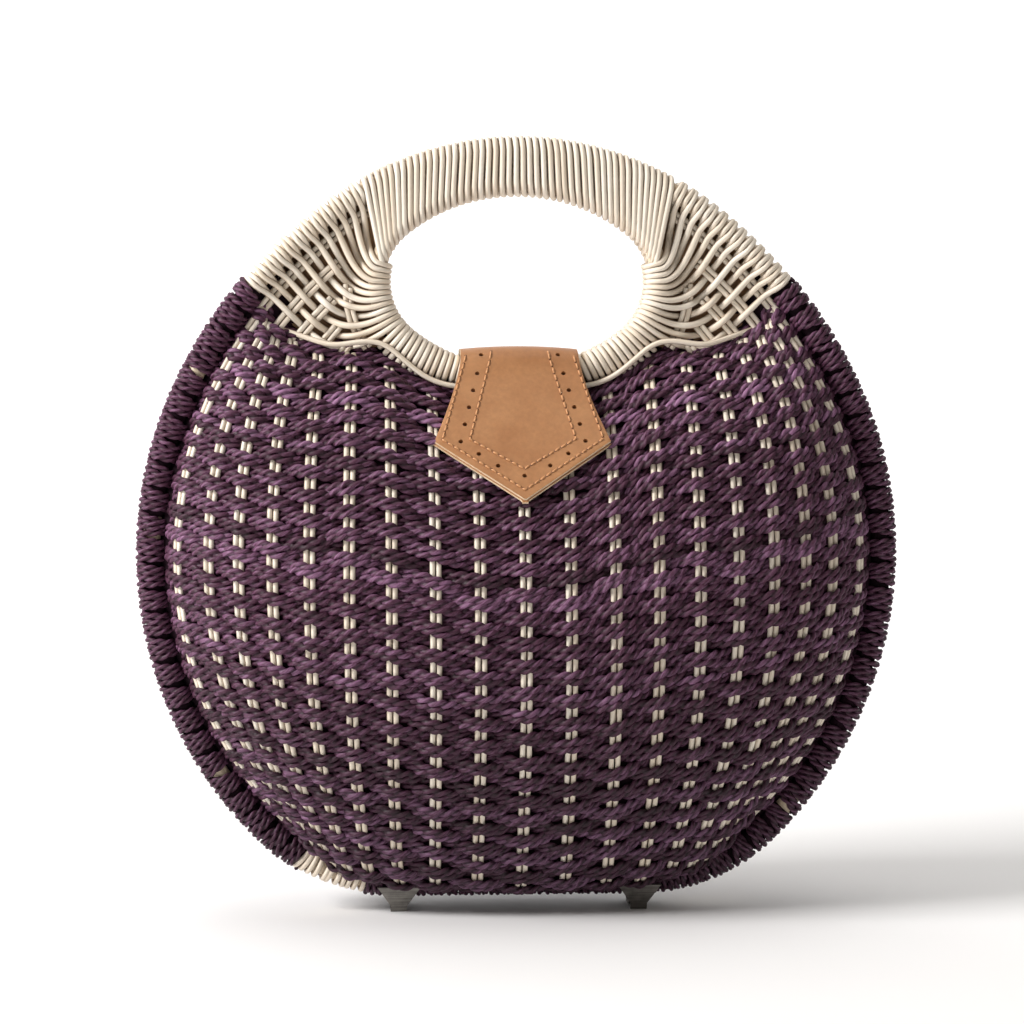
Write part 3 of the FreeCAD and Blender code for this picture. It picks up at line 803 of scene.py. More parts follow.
# Painted shade: a darker, shaded copy of the cream reed, for the reeds behind the shoulders.
PAINTED_SHADE_REED = StrandFinish(
    "painted shade reed", dark=linear(112, 82, 56), middle=linear(140, 108, 78), light=linear(166, 134, 102),
    painted_groove_shade=linear(60, 40, 26), roughness=(0.6, 0.8))
THREAD = StrandFinish(
    "stitching thread", dark=linear(74, 36, 18), middle=linear(176, 118, 72), light=linear(224, 172, 122),
    painted_groove_shade=linear(74, 36, 18), fibres_round=6.0, fibres_along=1500.0, roughness=(0.5, 0.7), bump_share=0.4,
    bump_height=0.0001)
# Painted shade: dark colour of the sheets that fill the gaps between cords and between the rim's turns.
PAINTED_SHADE_SHEET = LeatherFinish(
    "painted shade cord", base=linear(18, 7, 13), light=linear(36, 17, 28), roughness=(0.8, 0.95), bump_share=0.1, shine=0.15)
TAN_LEATHER = LeatherFinish("tan leather", base=linear(164, 112, 70), light=linear(181, 130, 86))
RAW_EDGE = LeatherFinish(
    "raw leather edge", base=linear(222, 192, 156), light=linear(240, 220, 190), grain_scale=1400.0,
    cloud_scale=300.0, roughness=(0.6, 0.8), bump_share=0.3)
CANE = LeatherFinish(
    "bare cane", base=linear(222, 200, 170), light=linear(240, 224, 198), grain_scale=500.0, cloud_scale=30.0,
    roughness=(0.4, 0.6), bump_share=0.2)
STEEL = SteelFinish("dull steel", base=linear(92, 89, 85), light=linear(146, 142, 136))
BACKDROP = FloorFinish("white backdrop")


def link_object(name: str, data: bpy.types.ID) -> bpy.types.Object:
    """Makes an object in the scene's collection.

    Args:
        name: Name of the object.
        data: Its mesh, camera or light.

    Returns:
        The new object.
    """
    made = bpy.data.objects.new(name, data)
    bpy.context.scene.collection.objects.link(made)
    return made


def pick(piece: bpy.types.Object) -> None:
    """Makes a piece the only selected object, and the active one.

    Args:
        piece: The piece.
    """
    bpy.ops.object.select_all(action="DESELECT")
    piece.select_set(True)
    bpy.context.view_layer.objects.active = piece


def apply_modifier(piece: bpy.types.Object, kind: str, **settings: object) -> None:
    """Adds a modifier to a piece, and applies it.

    Args:
        piece: The piece.
        kind: Type name of the modifier.
        settings: Properties of the modifier.
    """
    pick(piece)
    modifier = piece.modifiers.new(kind.lower(), kind)
    for name, value in settings.items():
        setattr(modifier, name, value)
    bpy.ops.object.modifier_apply(modifier=modifier.name)


def mapped_grid(name: str, cells: tuple[int, int], place: Callable[[Array, Array], Array]) -> bpy.types.Object:
    """Grid whose points are moved to places given by two shares.

    Args:
        name: Name of the piece.
        cells: Cells along X and along Y.
        place: From shares along X and Y, 0 to 1, gives points.

    Returns:
        The grid, selected and active.
    """
    bpy.ops.object.select_all(action="DESELECT")
    bpy.ops.mesh.primitive_grid_add(x_subdivisions=cells[0], y_subdivisions=cells[1], size=1.0)
    piece = bpy.context.object
    piece.name = piece.data.name = name
    flat = np.empty(3 * len(piece.data.vertices), np.float32)
    piece.data.vertices.foreach_get("co", flat)
    shares = flat.reshape(-1, 3).astype(float) + 0.5
    piece.data.vertices.foreach_set("co", place(shares[:, 0], shares[:, 1]).astype(np.float32).ravel())
    piece.data.update()
    return piece


def dress_piece(piece: bpy.types.Object, body: Body, slot: Slot, *nodes: str) -> None:
    """Makes a piece ride on a body, and hides the solids that it stands for.

    Args:
        piece: The piece.
        body: Body that it moves with.
        slot: Slot of the record that the piece's finish belongs to; it is not used.
        nodes: Names of the solids that it replaces.
    """
    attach(piece, body.value)
    if nodes:
        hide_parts(*nodes)
    LOG.info("%s: %d faces on %s", piece.name, len(piece.data.polygons), body.value)


@dataclass
class MeshDraft:
    """Vertices, faces and surface values of one piece while it is being made.

    Tone is a value that varies from strand to strand, and crest is 1 on a strand's ridges and 0 in its grooves, where
    the strand finishes lay painted shade.
    """

    points: list[Array] = field(default_factory=list)
    quads: list[Array] = field(default_factory=list)
    caps: list[list[int]] = field(default_factory=list)
    quad_uvs: list[Array] = field(default_factory=list)
    tones: list[Array] = field(default_factory=list)
    crests: list[Array] = field(default_factory=list)
    count: int = 0

    def add_tube(self, path: Array, side: Array, radius: Array | float, tone: float, section: Section,
                 start_turn: float = 0.0) -> None:
        """Adds a closed strand.

        Args:
            path: Middle line, one point per row.
            side: For each point, the way out of the surface that the strand lies on.
            radius: Outer radius, one for all or one for each point.
            tone: Value of this strand between 0 and 1.
            section: Cross-section.
            start_turn: Twist at the start, in radians.
        """
        count, sides = len(path), section.sides
        ways = unit(np.gradient(path, axis=0))
        out = unit(side - np.sum(side * ways, axis=1, keepdims=True) * ways)
        beside = np.cross(ways, out) * section.width
        lengths = run_lengths(path)
        twist = start_turn - (2 * math.pi / section.lay * lengths if section.lay else np.zeros(count))
        around, reach, ridge = section.outline()
        turned = around[None, :] + twist[:, None]
        size = np.broadcast_to(np.asarray(radius, float), (count,))[:, None] * reach[None, :]
        points = (path[:, None, :] + (size * np.cos(turned))[..., None] * out[:, None, :]
                  + (size * np.sin(turned))[..., None] * beside[:, None, :])
        first = self.count
        ring = np.arange(count - 1)[:, None] * sides + first
        this, following = np.arange(sides)[None, :], (np.arange(sides)[None, :] + 1) % sides
        quads = np.stack([ring + this, ring + following, ring + sides + following, ring + sides + this], axis=-1)
        u_this, u_next, v_this, v_next = (np.broadcast_to(values, (count - 1, sides)) for values in (
            this / sides, (this + 1) / sides, lengths[:-1, None], lengths[1:, None]))
        uvs = np.stack([u_this, v_this, u_next, v_this, u_next, v_next, u_this, v_next], axis=-1)
        self.points.append(points.reshape(-1, 3))
        self.quads.append(quads.reshape(-1, 4))
        self.quad_uvs.append(uvs.reshape(-1, 2))
        self.caps.append(list(range(first + sides - 1, first - 1, -1)))
        self.caps.append(list(range(first + (count - 1) * sides, first + count * sides)))
        self.tones.append(np.full(count * sides, tone))
        self.crests.append(np.tile(ridge, count))
        self.count += count * sides

    def make(self, name: str, finish: Finish, turn: float = 1.0) -> bpy.types.Object:
        """Makes the piece.

        Args:
            name: Name of the piece.
            finish: Finish of its surface.
            turn: 1 as drafted, or -1 turned half round about Z.

        Returns:
            The new object, at the origin.
        """
        points = np.concatenate(self.points) * np.array([turn, turn, 1.0])
        quads, uvs = np.concatenate(self.quads), np.concatenate(self.quad_uvs)
        caps = [corner for cap in self.caps for corner in cap]
        corners = np.concatenate([quads.ravel(), np.array(caps, int)])
        sizes = np.concatenate([np.full(len(quads), 4), np.array([len(cap) for cap in self.caps], int)])
        starts = np.concatenate([[0], np.cumsum(sizes)[:-1]])
        mesh = bpy.data.meshes.new(name)
        mesh.vertices.add(len(points))
        mesh.vertices.foreach_set("co", points.astype(np.float32).ravel())
        mesh.loops.add(len(corners))
        mesh.loops.foreach_set("vertex_index", corners.astype(np.int32))
        mesh.polygons.add(len(sizes))
        mesh.polygons.foreach_set("loop_start", starts.astype(np.int32))
        mesh.polygons.foreach_set("use_smooth", np.ones(len(sizes), bool))
        mesh.update(calc_edges=True)
        layer = mesh.uv_layers.new(name=FIBRES.uv_map)
        layer.data.foreach_set("uv", np.concatenate([uvs, np.zeros((len(caps), 2))]).astype(np.float32).ravel())
        for label, values in (("tone", self.tones), ("crest", self.crests)):
            attribute = mesh.attributes.new(label, "FLOAT", "POINT")
            attribute.data.foreach_set("value", np.concatenate(values).astype(np.float32))
        mesh.validate()
        mesh.materials.append(finish.material())
        return link_object(name, mesh)

    def place(self, half: Half, name: str, finish: Finish, slot: Slot, *nodes: str) -> None:
        """Makes the piece for a half, and dresses it.

        Args:
            half: Half that the piece belongs to.
            name: Name of the piece, after the half's word.
            finish: Finish of its surface.
            slot: Slot of the record that it takes its finish from.
            nodes: Names of the solids that it replaces, after the half's word.
        """
        piece = self.make(f"{half.label}_{name}", finish, half.sign)
        dress_piece(piece, half.body, slot, *(f"{half.label}_{node}" for node in nodes))


@dataclass
class ShellWeave:
    """Woven shell of a half: rows of paired two-ply cords over and under pairs of upright reeds.

    A thin dark ground sheet lies deep in the weave, painted shade in the gaps between the cords. Shares of drift and
    radius are of the distance from row to row.
    """

    form: BagForm
    rows: int = 53
    step: float = 0.0012
    section: Section = Section(12, 0.70, 0.0095, 1.22)
    radius_share: float = 0.335
    column_samples: int = 240
    row_samples: int = 361
    row_drift_share: float = 0.21
    row_drift_knots: int = 14
    cord_drift_share: float = 0.08
    cord_drift_knots: int = 40
    swing: float = 0.0022
    edge_swing_share: float = 0.3
    swing_drift_share: float = 0.1
    swing_drift_knots: int = 24
    cord_tone: float = 0.5
    cord_tone_spread: float = 0.2
    bands: int = 4
    stake_section: Section = Section(8)
    stake_ends: Span = (0.012, 0.99)
    stake_samples: int = 80
    stake_step: float = 0.004
    stake_tones: Span = (0.35, 0.95)
    pair_spacing: float = 0.0025
    pair_near: float = 0.004
    ground_cells: tuple[int, int] = (90, 70)
    ground_thickness: float = 0.0003
    ground_depth: float = 0.0017
    ground_margin: float = 0.003
    ground_side_share: float = 0.002
    ground_foot_share: float = 0.012
    ground_rise: float = 1.04
    seed: int = 7

    def strands(self, across: Array) -> tuple[Array, Array]:
        """Heights of all cords along a row, about evenly spaced along each column.

        Args:
            across: Shares across at which the heights are wanted.

        Returns:
            Shares up the shell, one row for each cord, and the length of the shell at each share across.
        """
        ups = (1 - np.cos(np.linspace(0.0, math.pi, self.column_samples))) / 2
        grid = self.form.sheet(*np.meshgrid(across, ups))
        steps = np.linalg.norm(np.diff(grid, axis=0), axis=2)
        lengths = np.concatenate([np.zeros((1, len(across))), np.cumsum(steps, axis=0)])
        draw = np.random.default_rng(self.seed)
        places = (across + 1) / 2
        rows = [self.row_drift_share * drift(draw, self.row_drift_knots, places) for _ in range(self.rows)]
        cords = [rows[number // 2] + self.cord_drift_share * drift(draw, self.cord_drift_knots, places)
                 for number in range(2 * self.rows)]
        shares = np.clip((np.arange(2 * self.rows)[:, None] + 0.5 + np.array(cords)) / (2 * self.rows), 0.0, 1.0)
        heights = [np.interp(shares[:, k] * lengths[-1, k], lengths[:, k], ups) for k in range(len(across))]
        return np.array(heights).T, lengths[-1]

    def cord(self, draft: MeshDraft, number: int, across: Array, heights: Array, lengths: Array,
             draw: np.random.Generator) -> None:
        """Adds one cord to a draft.

        Args:
            draft: Draft of the band that the cord is in.
            number: Number of the cord, from the foot up.
            across: Shares across along the cord.
            heights: Shares up along the cord.
            lengths: Length of the shell at each share across.
            draw: Source of seeded chance.
        """
        form, inset = self.form, self.form.sheet_inset(across, heights)
        full = self.edge_swing_share + (1 - self.edge_swing_share) * inset / form.stake_inset
        wave = np.cos(math.pi * (form.column_at(across) + number // 2)) * full
        normal = form.shell_normal(across, heights, form.stake_inset)
        loose = self.swing_drift_share * drift(draw, self.swing_drift_knots, (across + 1) / 2)
        reach = self.swing * (1 + loose) * wave
        path = form.shell(across, heights, inset) + normal * reach[:, None]
        even = resample(path, self.step)
        places = np.linspace(0.0, 1.0, len(even))
        spots = run_lengths(path) / run_lengths(path)[-1]
        sides = np.column_stack([np.interp(places, spots, normal[:, axis]) for axis in range(3)])
        radius = np.interp(places, spots, lengths / self.rows * self.radius_share)
        tone = float(np.clip(self.cord_tone + self.cord_tone_spread * draw.standard_normal(), 0.0, 1.0))
        draft.add_tube(even, sides, radius, tone, self.section, draw.uniform(0.0, math.pi))

    def build(self) -> list[MeshDraft]:
        """Cords of the weave.

        Returns:
            Drafts, one for each band of rows from the foot up.
        """
        across = np.sin(np.linspace(-math.pi / 2, math.pi / 2, self.row_samples))
        heights, lengths = self.strands(across)
        draw = np.random.default_rng(self.seed + 2)
        drafts = [MeshDraft() for _ in range(self.bands)]
        for number in range(2 * self.rows):
            band = number * self.bands // (2 * self.rows)
            self.cord(drafts[band], number, across, heights[number], lengths, draw)
        return drafts

    def build_stakes(self) -> MeshDraft:
        """Pairs of upright reeds.

        Returns:
            Their draft.
        """
        form, near, draft = self.form, self.pair_near, MeshDraft()
        draw = np.random.default_rng(self.seed + 1)
        ups = np.linspace(*self.stake_ends, self.stake_samples)
        for column in range(-form.pairs_each_side, form.pairs_each_side + 1):
            middle = np.full(len(ups), form.across_of(column))
            span = form.sheet(np.minimum(middle + near, 1.0), ups) - form.sheet(np.maximum(middle - near, -1.0), ups)
            for half in (-0.5, 0.5):
                across = middle + half * self.pair_spacing * 2 * near / np.linalg.norm(span, axis=1)
                path = resample(form.sheet(across, ups), self.stake_step)
                draft.add_tube(path, facing(FRONT, len(path)), form.reed_radius,
                               float(draw.uniform(*self.stake_tones)), self.stake_section)
        return draft

    def build_ground(self, half: Half) -> bpy.types.Object:
        """Thin dark sheet deep in the weave, painted shade that closes the gaps between cords and flares into its side
        and foot edges.

        Args:
            half: Half that it is for.

        Returns:
            The sheet.
        """
        def place(first: Array, second: Array) -> Array:
            """Points of the sheet.

            Args:
                first: Shares of the grid along a row.
                second: Shares of the grid along a stake.

            Returns:
                Points, turned as the half is.
            """
            across, up = np.sin((first - 0.5) * math.pi), self.ground_rise * second
            edge = np.maximum((np.abs(across) - (1 - self.ground_side_share)) / self.ground_side_share,
                              (self.ground_foot_share - up) / self.ground_foot_share)
            inset = self.form.sheet_inset(across, up) * (1 + self.ground_depth / self.form.stake_inset)
            points = self.form.shell(across, up, inset - self.ground_margin * np.clip(edge, 0.0, 1.0))
            return points * np.array([half.sign, half.sign, 1.0])
        piece = mapped_grid(f"{half.label}_weave_shade_sheet", self.ground_cells, place)
        apply_modifier(piece, "SOLIDIFY", thickness=self.ground_thickness, offset=0.0)
        bpy.ops.object.shade_smooth()
        # Its dark colour is painted shade in the gaps between cords.
        piece.data.materials.append(PAINTED_SHADE_SHEET.material())
        return piece

    def place(self) -> None:
        """Makes the weave and the stakes of both halves."""
        drafts, stakes = self.build(), self.build_stakes()
        for half in Half:
            for band, draft in enumerate(drafts):
                draft.place(half, f"weave_band_{band + 1}", PURPLE_CORD, Slot.CORD, "weave")
            dress_piece(self.build_ground(half), half.body, Slot.CORD)
            stakes.place(half, "stake_reeds", CREAM_REED, Slot.REED, "stakes")


@dataclass
class RimWrap:
    """Purple cord wound round the hoop, from shoulder to shoulder round the foot.

    The turns are drawn together in bunches on the inner side, where the ends of the rows pass between them, less so
    near the foot. A patch by one hinge is wound with bare reed, and at the bare places the cane shows. Both are given
    by signed lengths along the hoop.
    """

    form: BagForm
    pitch: float = 0.00242
    cord_radius: float = 0.0014
    cord_tone: float = 0.5
    section: Section = Section(12, 0.72, 0.0095)
    per_turn: int = 24
    loose_share: float = 0.16
    bunch: int = 4
    bunch_spread: Span = (0.45, 1.3)
    squeeze: Span = (0.08, 0.42)
    squeeze_lengths: Span = (0.055, 0.095)
    patch: Span = (-0.0875, -0.0595)
    patch_pitch_share: float = 2.3
    patch_section: Section = Section(8)
    patch_tone: float = 0.45
    under_section: Section = Section(14)
    under_radius: float = 0.0040
    under_step: float = 0.006
    under_tone: float = 0.2
    bare_places: tuple[float, ...] = (-0.300, -0.236, -0.134, 0.118)
    bare_length: float = 0.009
    seed: int = 21

    def turns(self, ends: Span, pitch: float, radius: float, draw: np.random.Generator) -> tuple[Array, Array]:
        """Middle line of a strand wound round the hoop.

        Args:
            ends: Signed lengths along the hoop where the strand starts and ends.
            pitch: Distance from turn to turn.
            radius: Distance of the strand's middle from the hoop's.
            draw: Source of seeded chance.

        Returns:
            Points, and for each the way out of the hoop.
        """
        start, end = ends
        turns = int((end - start) / pitch)
        turn = np.linspace(0.0, turns, turns * self.per_turn + 1)
        angle = 2 * math.pi * turn
        inner = (1 - np.cos(angle)) / 2
        reach = start + (end - start) * turn / turns
        bunch = np.floor(np.maximum(turn / self.bunch - 1e-9, 0.0)).astype(int)
        middle = start + (end - start) * (bunch + 0.5) * self.bunch / turns
        loose = np.interp(turn, np.arange(turns + 1), self.loose_share * pitch * draw.standard_normal(turns + 1))
        squeeze = np.interp(np.abs(middle), self.squeeze_lengths, self.squeeze)
        squeeze = squeeze * draw.uniform(*self.bunch_spread, bunch[-1] + 1)[bunch]
        reach = reach - squeeze * inner * (reach - middle) + loose
        centre, outward = self.form.cane_points(self.form.hoop, reach)
        way = np.cos(angle)[:, None] * outward + np.sin(angle)[:, None] * FRONT
        return centre + radius * way, way

    def build(self) -> MeshDraft:
        """Purple cord on both sides of the patch.

        Returns:
            Its draft.
        """
        draft, draw = MeshDraft(), np.random.default_rng(self.seed)
        for ends in ((-self.form.cord_end, self.patch[0]), (self.patch[1], self.form.cord_end)):
            path, way = self.turns(ends, self.pitch, self.form.rim_radius - self.cord_radius, draw)
            draft.add_tube(path, way, self.cord_radius, self.cord_tone, self.section)
        return draft

    def build_patch(self) -> MeshDraft:
        """Bare reed in the patch.

        Returns:
            Its draft.
        """
        draft, draw, reed = MeshDraft(), np.random.default_rng(self.seed + 1), self.form.reed_radius
        path, way = self.turns(self.patch, self.patch_pitch_share * reed, self.form.cane_radius + reed, draw)
        draft.add_tube(path, way, reed, self.patch_tone, self.patch_section)
        return draft

    def build_under(self) -> MeshDraft:
        """Dark layer under the turns, painted shade in the gaps between them, left off where the cane shows.

        Returns:
            Its draft.
        """
        draft, reach = MeshDraft(), self.form.cord_end
        gaps = [(place - self.bare_length / 2, place + self.bare_length / 2) for place in self.bare_places]
        ends = [-reach, *(end for gap in sorted([*gaps, self.patch]) for end in gap), reach]
        for start, end in zip(ends[::2], ends[1::2]):
            places = np.linspace(start, end, max(3, int((end - start) / self.under_step)))
            path, outward = self.form.cane_points(self.form.hoop, places)
            draft.add_tube(path, outward, self.under_radius, self.under_tone, self.under_section)
        return draft

    def place(self) -> None:
        """Makes the rim wraps of both halves."""
        cord, patch, under = self.build(), self.build_patch(), self.build_under()
        for half in Half:
            cord.place(half, "rim_cord", PURPLE_CORD, Slot.CORD, "rim_wrap")
            # The dark layer under the turns is painted shade between them.
            under.place(half, "rim_shade_layer", PAINTED_SHADE_SHEET, Slot.CORD, "rim_wrap")
            patch.place(half, "rim_reed_patch", CREAM_REED, Slot.REED, "rim_wrap")


@dataclass
class Handle:
    """Reed-wrapped grip, woven shoulders and wrapped ring of a half.

    A shoulder's reeds pass in pairs from the hoop to the ring. A place along a shoulder is given by the share of the
    way from the weave's edge, 0, to the grip, 1, and a side by -1 for the left one and 1 for the right.
    """

    form: BagForm
    reed: float = 0.00118
    section: Section = Section(8)
    tones: Span = (0.3, 0.9)
    half_turn_points: int = 11
    grip_turns: int = 48
    grip_drift: float = 0.0009
    grip_hoop_heading: float = 150.0
    grip_ring_heading: float = 106.0
    grip_front_points: int = 5
    grip_back_points: int = 3
    pairs: int = 12
    leg_share: float = 0.25
    pass_points: int = 40
    pass_bend: Span = (1.75, 0.6)
    end_share: float = 0.93
    field_share: float = 0.24
    weft_tail: tuple[int, int, int] = (2, 18, 5)
    return_points: int = 24
    return_depth: float = 0.0034
    return_run: float = 0.3
    stake_distances: tuple[float, ...] = (0.008, 0.017, 0.026, 0.035, 0.044)
    stake_clearance: float = 0.0185
    stake_start: float = -0.12
    stake_samples: int = 34
    stake_tones: Span = (0.4, 0.8)
    stake_swing: float = 0.0021
    stake_spacing: float = 0.0023
    last_stake_distance: float = 0.0125
    last_stake_ends: Span = (-0.05, 0.55)
    border: Marks = ((0.0947, 0.2303), (0.0731, 0.2231), (0.0585, 0.2255), (0.0517, 0.2239), (0.0464, 0.2188),
                     (0.0371, 0.2110), (0.0287, 0.2077), (0.0150, 0.2066), (0.0, 0.2063))
    border_depth: float = 0.0118
    border_tuck: float = 0.005
    border_step: float = 0.0016
    border_rounds: int = 10
    border_tone: float = 0.5
    backing_reed: float = 0.0008
    backing_section: Section = Section(8, width=3.0)
    backing_runs: int = 15
    backing_depth_share: float = 0.8
    backing_tones: Span = (0.2, 0.8)
    ring_low_heading: float = 52.0
    ring_pitch: float = 0.00245
    ring_drift: float = 0.04
    ring_turn_points: int = 25
    ring_stretch: float = 0.0046
    ring_stretch_headings: tuple[float, ...] = (17.0, 38.0, 60.0)
    ring_stretch_shares: tuple[float, ...] = (0.0, 1.0, 0.6)
    grip_seed: int = 33
    shoulder_seed: int = 38
    ring_seed: int = 42
    backing_seed: int = 48

    @property
    def turn_radius(self) -> float:
        """Distance of a wound reed's middle from the cane's."""
        return self.form.cane_radius + self.reed

    def crown_points(self, line: CaneLine, heading: float, share: Array) -> Array:
        """Points along a line from a heading on its left over the crown to its right.

        Args:
            line: Line of the hoop or the ring.
            heading: Heading at which the points start and end.
            share: Shares of the way.

        Returns:
            Points on the line.
        """
        top, low = line.length_at(180.0), line.length_at(heading)
        from_crown = 2 * share - 1
        reach = np.where(from_crown < 0, -1.0, 1.0) * (top - (top - low) * np.abs(from_crown))
        return self.form.cane_points(line, reach)[0]

    def half_turn(self, start: Array, end: Array, out: Array, past: Array) -> tuple[Array, Array]:
        """Half turn of a reed round a cane.

        Args:
            start: Cane's middle where the half turn starts.
            end: Cane's middle where it ends.
            out: Way from the cane to the reed at the start.
            past: Way in which the reed passes round the cane.

        Returns:
            Points and the ways out of the cane.
        """
        angle = np.linspace(0.0, math.pi, self.half_turn_points)[:, None]
        way = np.cos(angle) * out + np.sin(angle) * past
        middle = start + (end - start) * (angle / math.pi)
        return middle + self.turn_radius * way, way

    def build_grip(self) -> MeshDraft:
        """Reed round the hoop and the ring together.

        Returns:
            Its draft.
        """
        form, draft = self.form, MeshDraft()
        draw = np.random.default_rng(self.grip_seed)
        runs, tail = 2 * self.grip_turns + 1, self.grip_back_points
        share = np.clip(np.linspace(0.0, 1.0, runs) + self.grip_drift * draw.standard_normal(runs), 0.0, 1.0)
        tops = self.crown_points(form.hoop, self.grip_hoop_heading, share)
        lows = self.crown_points(form.ring, self.grip_ring_heading, share)
        down, back = unit(lows - tops), -self.turn_radius * FRONT
        for run in range(0, runs - 2, 2):
            top_turn, top_way = self.half_turn(tops[run], tops[run + 1], -FRONT, -down[run])
            low_turn, low_way = self.half_turn(lows[run + 1], lows[run + 2], FRONT, down[run])
            rise = np.linspace((lows[run] + tops[run]) / 2 + back, tops[run] + back, tail + 1)[:-1]
            front = np.linspace(top_turn[-1], low_turn[0], self.grip_front_points + 2)[1:-1]
            fall = np.linspace(lows[run + 2] + back, (lows[run + 2] + tops[run + 2]) / 2 + back, tail + 1)[1:]
            path = np.concatenate([rise, top_turn, front, low_turn, fall])
            way = np.concatenate([facing(-FRONT, len(rise)), top_way, facing(FRONT, len(front)), low_way,
                                  facing(-FRONT, len(fall))])
            draft.add_tube(path, way, self.reed, float(draw.uniform(*self.tones)), self.section)
        return draft

    def pass_line(self, side: int, along: float) -> tuple[Array, Array, Array]:
        """Middle line of a pass over a shoulder, square to the hoop where it starts and to the ring where it ends.

        Args:
            side: Side of the shoulder.
            along: Triple along the shoulder.

        Returns:
            Points from hoop to ring, and the ways into the bend of the hoop and of the ring.
        """
        ends, ways = [], []
        for line, low, high in ((self.form.hoop, self.form.cord_end_heading, self.grip_hoop_heading),
                                (self.form.ring, self.ring_low_heading, self.grip_ring_heading)):
            first, last = line.length_at(low), line.length_at(high)
            point, outward = self.form.cane_points(line, np.array([side * (first + (last - first) * along)]))
            ends.append(point[0])
            ways.append(-outward[0])
        bend = self.pass_bend[0] + (self.pass_bend[1] - self.pass_bend[0]) * along
        bend = bend * float(np.linalg.norm(ends[1] - ends[0]))
        t = np.linspace(0.0, 1.0, self.pass_points)[:, None]
        points = ((1 + 2 * t) * (1 - t) ** 2 * ends[0] + t ** 2 * (3 - 2 * t) * ends[1]
                  + bend * t * (1 - t) ** 2 * ways[0] - bend * t ** 2 * (1 - t) * ways[1])
        return points, ways[0], ways[1]

    def crossings(self, length: float) -> list[float]:
        """Shares of a pass's length at which it crosses stakes."""
        near = [distance / length for distance in self.stake_distances if distance < length - self.stake_clearance]
        return [*near, 1 - self.last_stake_distance / length]

    def pair_places(self, number: int) -> tuple[float, float]:
        """Place of a pair along its shoulder, and the offset of its two legs from there."""
        return (number + 0.5) / self.pairs, self.leg_share / self.pairs

    def drawn_line(self, side: int, middle: float, start: float) -> tuple[Array, Array, list[float]]:
        """Middle line of one leg of a pair, drawn in to the pair's middle at the first stakes.

        Args:
            side: Side of the shoulder.
            middle: Triple of the pair along the shoulder.
            start: Triple of the leg where it leaves the hoop.

        Returns:
            Points from hoop to ring, their shares of the length, and the shares at which stakes are crossed.
        """
        pair, leg = self.pass_line(side, middle)[0], self.pass_line(side, start)[0]
        lengths = run_lengths(pair)
        share, crossed = lengths / lengths[-1], self.crossings(lengths[-1])
        drawn = eased(share, np.array([0.0, crossed[0], 1.0]), np.array([0.0, 1.0, 1.0]))
        return leg + (pair - leg) * drawn[:, None], share, crossed

    def add_weft(self, draft: MeshDraft, side: int, number: int, tone: float) -> None:
        """Adds the front leg of a pair: round the ring, by turns over and under the stakes, and round the hoop.

        Args:
            draft: Draft of the shoulder.
            side: Side of the shoulder.
            number: Number of the pair.
            tone: Tone of the reed.
        """
        middle, offset = self.pair_places(number)
        line, share, crossed = self.drawn_line(side, middle, middle - offset)
        over = [1.0 if place == 0 or (number + place) % 2 else -1.0 for place in range(len(crossed))]
        heights = np.array([self.turn_radius, *(self.stake_swing * turn for turn in over), self.turn_radius])
        front = line + FRONT * eased(share, np.array([0.0, *crossed, 1.0]), heights)[:, None]
        behind, hoop_in, ring_in = self.pass_line(side, middle)
        ring_start = self.pass_line(side, middle - offset)[0][-1]
        ring_turn, ring_way = self.half_turn(ring_start, line[-1], -FRONT, ring_in)
        hoop_turn, hoop_way = self.half_turn(line[0], behind[0], FRONT, -hoop_in)
        back = behind[slice(*self.weft_tail)] - self.turn_radius * FRONT
        path = np.concatenate([ring_turn, front[-2:0:-1], hoop_turn, back])
        way = np.concatenate([ring_way, facing(FRONT, len(front) - 2), hoop_way, facing(-FRONT, len(back))])
        full = np.concatenate([np.zeros(len(ring_turn)), np.sin(math.pi * share[-2:0:-1]),
                               np.zeros(len(hoop_turn) + len(back))])
        draft.add_tube(path, way, self.reed * (self.end_share + self.field_share * full), tone, self.section)

    def add_return(self, draft: MeshDraft, side: int, number: int, tone: float) -> None:
        """Adds the back leg of a pair: round the hoop to the front, then behind the first stakes towards the ring.

        Args:
            draft: Draft of the shoulder.
            side: Side of the shoulder.
            number: Number of the pair.
            tone: Tone of the reed.
        """
        middle, offset = self.pair_places(number)
        line, share, crossed = self.drawn_line(side, middle, middle + offset)
        knots = np.array([0.0, crossed[0], crossed[0] + self.return_run * (1 - crossed[0]), 1.0])
        heights = np.array([self.turn_radius, -self.stake_swing, -self.return_depth, -self.return_depth])
        _, hoop_in, _ = self.pass_line(side, middle + offset)
        turn, turn_way = self.half_turn(self.pass_line(side, middle)[0][0], line[0], -FRONT, -hoop_in)
        leg = (line + FRONT * eased(share, knots, heights)[:, None])[1:self.return_points]
        path = np.concatenate([turn, leg])
        way = np.concatenate([turn_way, facing(FRONT, len(leg))])
        draft.add_tube(path, way, self.reed * self.end_share, tone, self.section)

